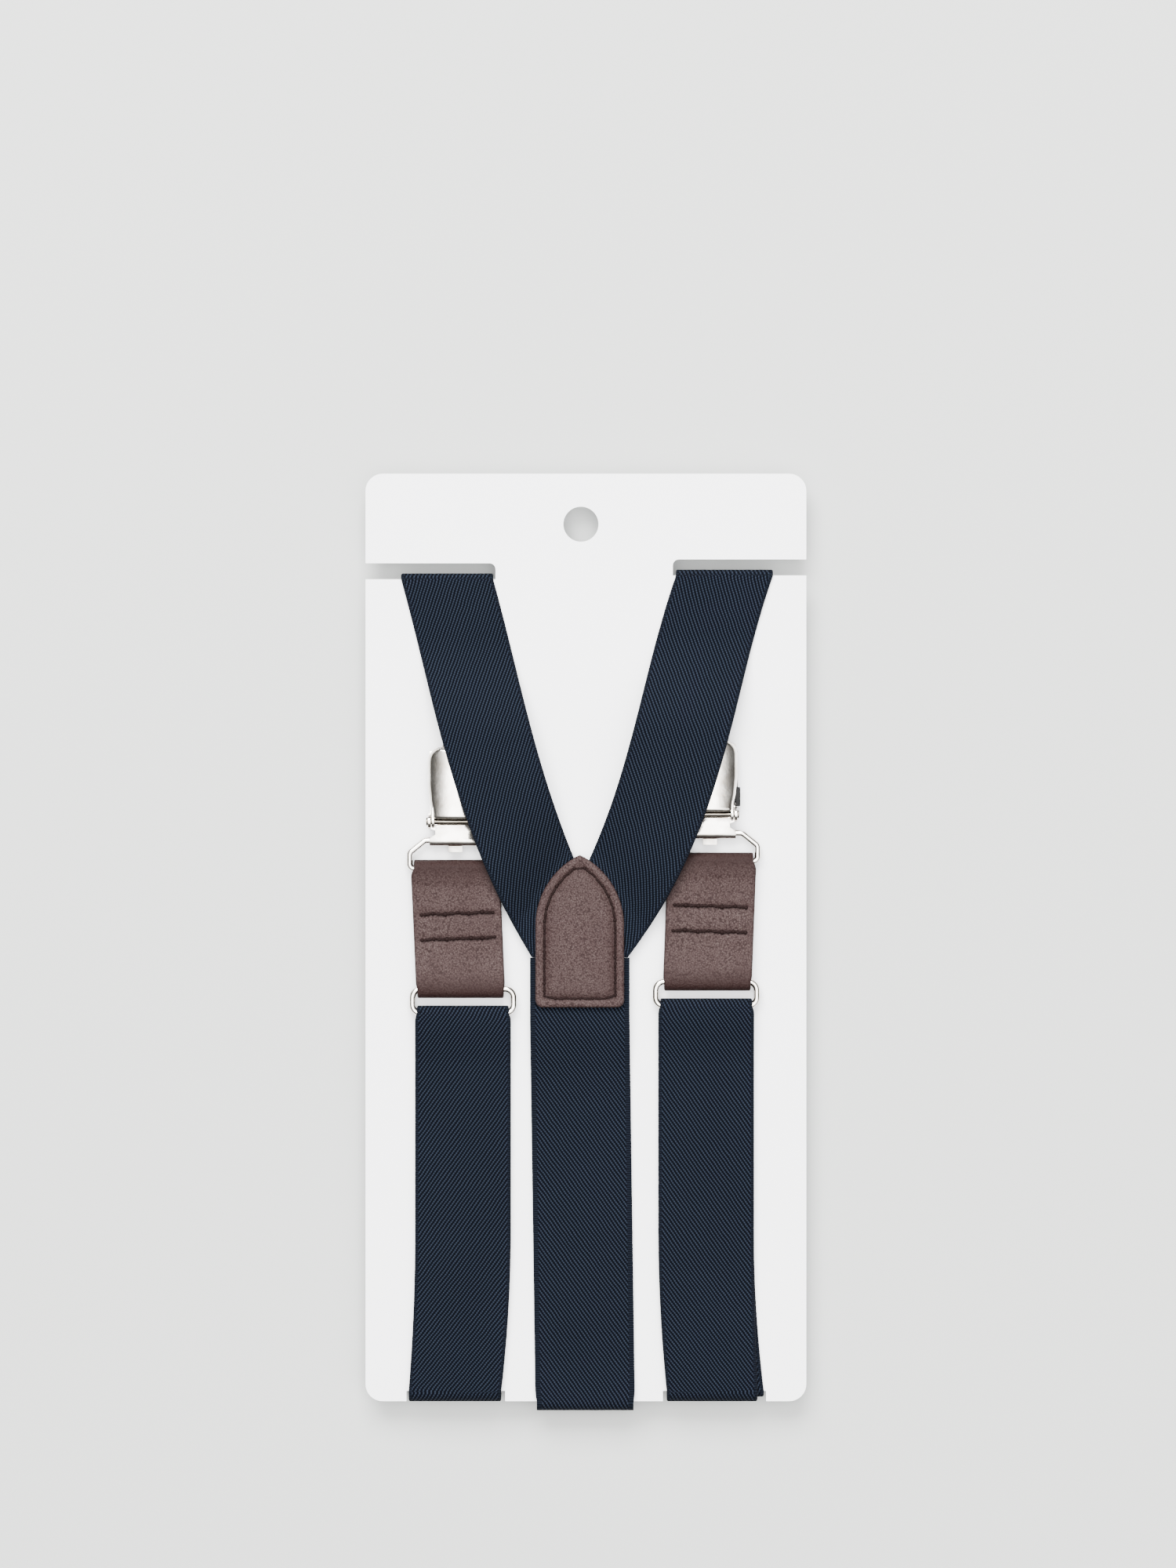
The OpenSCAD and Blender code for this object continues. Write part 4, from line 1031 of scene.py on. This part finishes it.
class Hanger:
    """A ring with its tab, bail and clip. Local X, Y, Z start at the ring's lower bar on the card's face."""

    def __init__(self, name, bodies, foot_shift):
        self.name = name
        self.bodies = bodies
        low, high = box_mm(name + "_ring")
        self.face = 1 if name != "back" else -1
        self.ring_r = (high[2] - low[2]) / 2
        self.x = (low[0] + high[0]) / 2
        self.y = low[1] + self.ring_r
        self.plane = CARD_FRONT if self.face > 0 else CARD_BACK
        self.wire_z = self.face * ((low[2] + high[2]) / 2 - self.plane)
        self.ring_half = (high[0] - low[0]) / 2 - self.ring_r
        self.ring_span = (high[1] - low[1]) - 2 * self.ring_r
        low, high = box_mm(name + "_bail")
        self.bail_r = (high[2] - low[2]) / 2
        self.bail_x = self.face * ((low[0] + high[0]) / 2 - self.x)
        self.bail_low = low[1] + self.bail_r - self.y
        self.bail_high = high[1] - self.bail_r - self.y
        self.bail_half = (high[0] - low[0]) / 2 - self.bail_r
        self.foot_shift = foot_shift
        low, high = box_mm(name + "_clip_pin")
        self.clip_x = self.face * ((low[0] + high[0]) / 2 - self.x)
        self.pin_y = (low[1] + high[1]) / 2 - self.y
        self.pin_z = self.face * ((low[2] + high[2]) / 2 - self.plane)
        low, high = box_mm(name + "_clip_lever")
        self.lever_end = high[1] - self.y
        self.cover_top = (high[2] - self.plane) if self.face > 0 else (self.plane - low[2])
        self.cover_half = (high[0] - low[0]) / 2

    def place(self, points):
        points = np.asarray(points, float)
        out = np.empty_like(points)
        out[:, 0] = self.x + self.face * points[:, 0]
        out[:, 1] = self.y + points[:, 1]
        out[:, 2] = self.plane + self.face * points[:, 2]
        return out

    def settle(self, obj, part, slot, node):
        settle(obj, node, self.bodies[part])


TAB_ROWS = (0.42, 0.63)
TAB_STITCHES = 6
TAB_PITCH = 3.15
TAB_W = 23.2
RING_BEND = 2.2
BAIL_BEND = 1.3
BAIL_KNEE = 4.2
BAIL_TOP_HALF = 7.9


def build_ring(h):
    half, span = h.ring_half, h.ring_span
    loop = rounded_loop([[-half, 0], [half, 0], [half, span], [-half, span]], RING_BEND, 12)
    ring = wire(h.name + "_ring_wire", loop, h.wire_z, h.ring_r, NICKEL, h.place)
    h.settle(ring, "ring", "nickel", h.name + "_ring")


def build_bail(h):
    knee = h.bail_low + BAIL_KNEE
    corners = [
        [h.bail_x - h.bail_half, h.bail_low], [h.bail_x + h.bail_half, h.bail_low],
        [h.bail_x + h.bail_half, knee], [h.bail_x + BAIL_TOP_HALF, h.bail_high],
        [h.bail_x - BAIL_TOP_HALF, h.bail_high], [h.bail_x - h.bail_half, knee],
    ]
    loop = rounded_loop(corners, BAIL_BEND, 12)
    bail = wire(h.name + "_bail_wire", loop, h.wire_z, h.bail_r, NICKEL, h.place)
    h.settle(bail, "bail", "nickel", h.name + "_bail")


def build_tab(h):
    ring_y, bail_y = h.ring_span, h.bail_low
    lie = LEATHER_T / 2 + NEAR
    ring_fold = h.ring_r + NEAR + LEATHER_T / 2
    bail_fold = h.bail_r + NEAR + LEATHER_T / 2
    middle = (ring_y + bail_y) / 2
    z = h.wire_z
    line = chain(
        straight([middle - 0.15, z - lie], [ring_y + 10, z - lie], 8),
        glide([ring_y + 10, z - lie], [ring_y, z - ring_fold], 26),
        arc([ring_y, z], ring_fold, 270, 90, 24),
        glide([ring_y, z + ring_fold], [ring_y + 10, z + lie], 30),
        straight([ring_y + 10, z + lie], [bail_y - 9, z + lie], 44),
        glide([bail_y - 9, z + lie], [bail_y, z + bail_fold], 30),
        arc([bail_y, z], bail_fold, 90, -90, 24),
        glide([bail_y, z - bail_fold], [bail_y - 9, z - lie], 26),
        straight([bail_y - 9, z - lie], [middle + 0.15, z - lie], 8),
    )
    share = np.clip((line[:, 0] - ring_y) / (bail_y - ring_y), 0, 1)
    centre = h.foot_shift + (h.bail_x - h.foot_shift) * share
    near_ring = np.clip(1 - np.maximum(0, line[:, 0] - ring_y) / 2.0, 0, 1) ** 2
    near_bail = np.clip(1 - np.maximum(0, bail_y - line[:, 0]) / 2.5, 0, 1) ** 2
    width = TAB_W - 0.6 * near_ring - 1.6 * near_bail
    rows = [ring_y + (bail_y - ring_y) * f for f in TAB_ROWS]
    reach = TAB_STITCHES * TAB_PITCH / 2

    def pressed(x, y):
        out = 0
        c = h.foot_shift + (h.bail_x - h.foot_shift) * np.clip((y - ring_y) / (bail_y - ring_y), 0, 1)
        inside = 1 / (1 + np.exp((np.abs(x - c) - reach - 0.4) / 0.35))
        for row in rows:
            out = out - 0.26 * inside * np.exp(-((y - row) / 1.0) ** 2)
        crease = 0.10 * np.exp(-((y - (bail_y - 4.6)) / 1.1) ** 2) * (1 + 0.4 * np.sin(x * 0.5))
        crease += 0.08 * np.exp(-((y - (ring_y + 4.2)) / 1.2) ** 2) * (1 + 0.4 * np.cos(x * 0.43))
        return out - crease

    tab = band(h.name + "_tab_leather", line, centre - width / 2, centre + width / 2,
               LEATHER_T, 0.4, LEATHER, 0.0, 40, pressed)
    co = np.array([v.co for v in tab.data.vertices]) / MM
    # painted shade: darker round the ring and bail folds, fully dark where the tab turns behind them, and
    # along the pressed stitch rows; the edges darker too
    ring_shade = np.clip(1 - np.abs(co[:, 1] - ring_y) / 5.5, 0, 1)
    bail_shade = np.clip(1 - np.abs(co[:, 1] - bail_y) / 6.5, 0, 1)
    ring_shade[co[:, 1] < ring_y] = 1
    bail_shade[co[:, 1] > bail_y] = 1
    seam_shade = sum(0.35 * np.exp(-((co[:, 1] - row) / 0.9) ** 2) for row in rows)
    rim = np.interp(np.abs(co[:, 0] - np.interp(co[:, 1], [ring_y, bail_y], [h.foot_shift, h.bail_x])),
                    [TAB_W / 2 - 0.5, TAB_W / 2], [0, 0.6])
    stress(tab, np.clip(np.maximum(np.maximum(ring_shade, bail_shade) ** 1.4 * 0.85, seam_shade) + rim, 0, 1))
    moved = h.place(co) * MM
    tab.data.vertices.foreach_set("co", moved.astype(np.float32).ravel())
    tab.data.update()
    h.settle(tab, "tab", "leather", h.name + "_tab")

    top = z + lie + LEATHER_T / 2 - 0.06
    rows_made = []
    for n, row in enumerate(rows):
        share = (row - ring_y) / (bail_y - ring_y)
        x0 = h.foot_shift + (h.bail_x - h.foot_shift) * share
        tilt = (h.bail_x - h.foot_shift) / (bail_y - ring_y) * -0.8
        holes = []
        for i in range(TAB_STITCHES + 1):
            x = (i - TAB_STITCHES / 2) * TAB_PITCH + 0.18 * math.sin(3.7 * i + 2 * n)
            y = row + tilt * x + 0.16 * math.sin(2.9 * i + 1.3 * n + len(h.name))
            holes.append((x0 + x, y, top))
        rows_made.append(stitches(f"{h.name}_row_{n}", holes, (0, 0, 1), *TAB_THREAD, THREAD, h.place))
    seam = join(rows_made, h.name + "_tab_thread")
    h.settle(seam, "tab", "thread", h.name + "_tab_stitching")


SHEET_T = 0.7
COVER_START = 0.8
CHEEK_X = 5.4
CHEEK_R = 1.7
COVER_CORNER = 3.8
DOME_R = 12.0
ROLL_R = 1.2
CAM_HALF = 3.0
CAM_Y = 3.0


def cover_half_width(h, y):
    """Half the cover's width at height y above the pin."""
    low = CHEEK_X + SHEET_T
    high = h.cover_half
    length = h.lever_end - h.pin_y
    widen = np.interp(y, [COVER_START, COVER_START + 1.4, COVER_START + 4.5, COVER_START + 9],
                      [0, 0, 0.6, 1.0])
    w = low + (high - low) * widen
    top = length - COVER_CORNER
    inside = np.clip((y - top) / COVER_CORNER, 0, 1)
    return w - COVER_CORNER * (1 - np.sqrt(np.maximum(0, 1 - inside ** 2)))


def build_cover(h):
    """The lever: a domed cover with rolled edges, two cheeks on the pin and the cam under the dome."""
    length = h.lever_end - h.pin_y
    t = np.linspace(0, 1, 70)
    ys = COVER_START + (length - COVER_START) * (1 - (1 - t) ** 1.25)
    s = np.sin(np.linspace(-math.pi / 2, math.pi / 2, 61))
    half = cover_half_width(h, ys)
    x = half[:, None] * s[None, :]
    y = np.repeat(ys[:, None], len(s), axis=1)
    edge = np.concatenate([
        np.stack([half, ys], axis=1),
        np.stack([-half, ys], axis=1),
        straight([-half[-1], length], [half[-1], length], 40),
    ])
    grid = np.stack([x, y], axis=2).reshape(-1, 2)
    away = np.min(np.linalg.norm(grid[:, None, :] - edge[None, :, :], axis=2), axis=1).reshape(x.shape)
    dome = DOME_R - np.sqrt(DOME_R ** 2 - x ** 2)
    d = np.clip(away, 0, ROLL_R)
    roll = ROLL_R - np.sqrt(ROLL_R ** 2 - (ROLL_R - d) ** 2)
    lip = 0.35 * np.clip(1 - (y - COVER_START) / 0.6, 0, 1) ** 2
    tip = 0.5 * np.clip((y - length + 7) / 7, 0, 1) ** 2
    top = h.cover_top - dome - roll * 0.95 - lip - tip
    outer = np.stack([h.clip_x + x, h.pin_y + y, top], axis=2)
    n, m = x.shape
    faces = [(i * m + j, i * m + j + 1, (i + 1) * m + j + 1, (i + 1) * m + j)
             for i in range(n - 1) for j in range(m - 1)]
    shell = new_object(h.name + "_cover", h.place(outer.reshape(-1, 3)), faces, None, NICKEL, 60)
    thick = shell.modifiers.new("thick", "SOLIDIFY")
    thick.thickness = SHEET_T * MM
    thick.offset = -1.0
    parts = [applied(shell)]
    for side in (-1, 1):
        parts.append(cheek(h, side))
    cam = rounded_box(h.name + "_cam", h, [-CAM_HALF, h.pin_y + CAM_Y, h.pin_z + 0.2],
                      [CAM_HALF, h.pin_y + CAM_Y + SHEET_T, h.cover_top - 0.8], 0.15)
    parts.append(cam)
    lever = join(parts, h.name + "_lever_metal")
    h.settle(lever, "lever", "nickel", h.name + "_clip_lever")


def prism(name, h, outline, x0, x1, bevel):
    """An outline of [y, z] drawn out from x0 to x1, with its edges rounded."""
    n = len(outline)
    points = [[x0, y, z] for y, z in outline] + [[x1, y, z] for y, z in outline]
    faces = [tuple(range(n))[::-1], tuple(range(n, 2 * n))]
    faces += [(k, (k + 1) % n, n + (k + 1) % n, n + k) for k in range(n)]
    obj = new_object(name, h.place(np.array(points, float)), faces, None, NICKEL, 30)
    rounding = obj.modifiers.new("bevel", "BEVEL")
    rounding.width = bevel * MM
    rounding.segments = 2
    rounding.limit_method = "ANGLE"
    rounding.angle_limit = math.radians(50)
    return applied(obj)


def cheek(h, side):
    x0 = h.clip_x + side * (CHEEK_X + SHEET_T / 2) - SHEET_T / 2
    ring = arc([h.pin_y, h.pin_z], CHEEK_R, 60, 300, 24)
    outline = list(ring) + [[h.pin_y + 3.6, h.pin_z - 0.6], [h.pin_y + 3.6, h.pin_z + 1.5]]
    return prism(f"{h.name}_cheek_{side}", h, outline, x0, x0 + SHEET_T, 0.12)


def rounded_box(name, h, low, high, bevel):
    outline = [[low[1], low[2]], [high[1], low[2]], [high[1], high[2]], [low[1], high[2]]]
    return prism(name, h, outline, h.clip_x + low[0], h.clip_x + high[0], bevel)


def build_clip(h):
    build_cover(h)
    for part, node, slot, material, width in (
        ("base", "_clip_base", "nickel", NICKEL, 0.14),
        ("base", "_clip_pin", "nickel", PIN_METAL_SHADED, 0.12),
        ("jaw", "_clip_jaw", "nickel", NICKEL, 0.1),
        ("jaw", "_upper_pad", "pad", PAD, 0.15),
        ("base", "_lower_pad", "pad", PAD, 0.15),
    ):
        piece = softened(h.name + node, h.name + node + "_part", material, width)
        h.settle(piece, part, slot, h.name + node)


def build_hanger(h):
    build_ring(h)
    build_bail(h)
    build_tab(h)
    build_clip(h)


def front_bodies(name):
    return {"ring": "card", "tab": "card", "bail": "card", "base": "card",
            "lever": name + "_lever", "jaw": name + "_jaw"}


BACK_BODIES = {"ring": "back_ring", "tab": "back_tab", "bail": "back_bail", "base": "back_clip",
               "lever": "back_lever", "jaw": "back_jaw"}


# ---- build ----

build_side(LEFT, LEFT_WEAVE)
build_side(RIGHT, RIGHT_WEAVE)
build_centre(LEFT_WEAVE)
build_patch()
build_hanger(Hanger("left", front_bodies("left"), -0.6))
build_hanger(Hanger("right", front_bodies("right"), 0.3))
build_hanger(Hanger("back", BACK_BODIES, 0.0))
for name in ("left", "right"):
    adjuster = softened(name + "_adjuster", name + "_adjuster_metal", NICKEL, 0.3, 3)
    settle(adjuster, name + "_adjuster", name + "_slide")
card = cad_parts["display_card"]
card.data.materials.clear()
card.data.materials.append(CARD)


# ---- floor, light and camera ----

FLOOR_HALF = 6000.0
CAMERA_DISTANCE = 2.0
VIEW_TALL = 0.4098
VIEW_CENTRE = (0.00055, 0.0413)
SENSOR = 36.0
KEY_POWER = 18.0
FILL_POWER = 2.0
SKY_POWER = 2.1


def build_floor():
    s = Shader("floor")
    where = s.place()
    cloud = s.noise(where, 3, 2)
    s.set("Base Color", s.blend(cloud, (0.42, 0.43, 0.425), (0.44, 0.45, 0.445)))
    s.rough(cloud, 0.1, 0.7)
    half = FLOOR_HALF
    corners = [[-half, -half, 0], [half, -half, 0], [half, half, 0], [-half, half, 0]]
    floor = new_object("floor", corners, [(0, 1, 2, 3)], None, s.material)


def area_light(name, place, aim, size, power, colour):
    data = bpy.data.lights.new(name, "AREA")
    data.shape = "RECTANGLE"
    data.size, data.size_y = size
    data.energy = power
    data.color = colour
    lamp = bpy.data.objects.new(name, data)
    bpy.context.scene.collection.objects.link(lamp)
    lamp.location = place
    ahead = Vector(aim) - Vector(place)
    lamp.rotation_mode = "QUATERNION"
    lamp.rotation_quaternion = ahead.to_track_quat("-Z", "Y")
    return lamp


# how bright the room is at each height, 0 at the horizon and 1 overhead
SKY = ((0.35, 0.008), (0.6, 0.012), (0.68, 0.03), (0.75, 0.07), (0.82, 0.15), (0.88, 0.32), (0.94, 0.68))


def build_light():
    middle = (0.0, 0.0, CARD_FRONT * MM)
    area_light("key", (-0.25, 1.1, 1.3), middle, (1.3, 0.9), KEY_POWER * LIGHT_LEVEL, (1.0, 0.995, 0.985))
    area_light("fill", (0.9, -0.6, 1.2), middle, (1.0, 1.0), FILL_POWER * LIGHT_LEVEL, (0.985, 0.99, 1.0))
    world = bpy.data.worlds.new("studio")
    bpy.context.scene.world = world
    world.use_nodes = True
    tree = world.node_tree
    tree.nodes.clear()
    output = tree.nodes.new("ShaderNodeOutputWorld")
    sky = tree.nodes.new("ShaderNodeBackground")
    coords = tree.nodes.new("ShaderNodeTexCoord")
    split = tree.nodes.new("ShaderNodeSeparateXYZ")
    ramp = tree.nodes.new("ShaderNodeValToRGB")
    tree.links.new(coords.outputs["Generated"], split.inputs[0])
    tree.links.new(split.outputs[2], ramp.inputs[0])
    tree.links.new(ramp.outputs[0], sky.inputs[0])
    tree.links.new(sky.outputs[0], output.inputs[0])
    stops = ramp.color_ramp
    stops.elements[0].position = 0.0
    stops.elements[0].color = (0.008, 0.007, 0.006, 1)
    stops.elements[1].position = 0.97
    stops.elements[1].color = (1.0, 1.0, 1.0, 1)
    for height, level in SKY:
        step = stops.elements.new(height)
        step.color = (level, level * 0.985, level * 0.96, 1)
    sky.inputs["Strength"].default_value = SKY_POWER * LIGHT_LEVEL


def build_camera():
    """Straight above, framed as the picture was taken."""
    data = bpy.data.cameras.new("camera")
    data.sensor_fit = "AUTO"
    data.sensor_width = SENSOR
    data.lens = SENSOR * CAMERA_DISTANCE / VIEW_TALL
    camera = bpy.data.objects.new("camera", data)
    bpy.context.scene.collection.objects.link(camera)
    camera.location = (*VIEW_CENTRE, CARD_FRONT * MM + CAMERA_DISTANCE)
    bpy.context.scene.camera = camera


build_floor()
build_light()
build_camera()
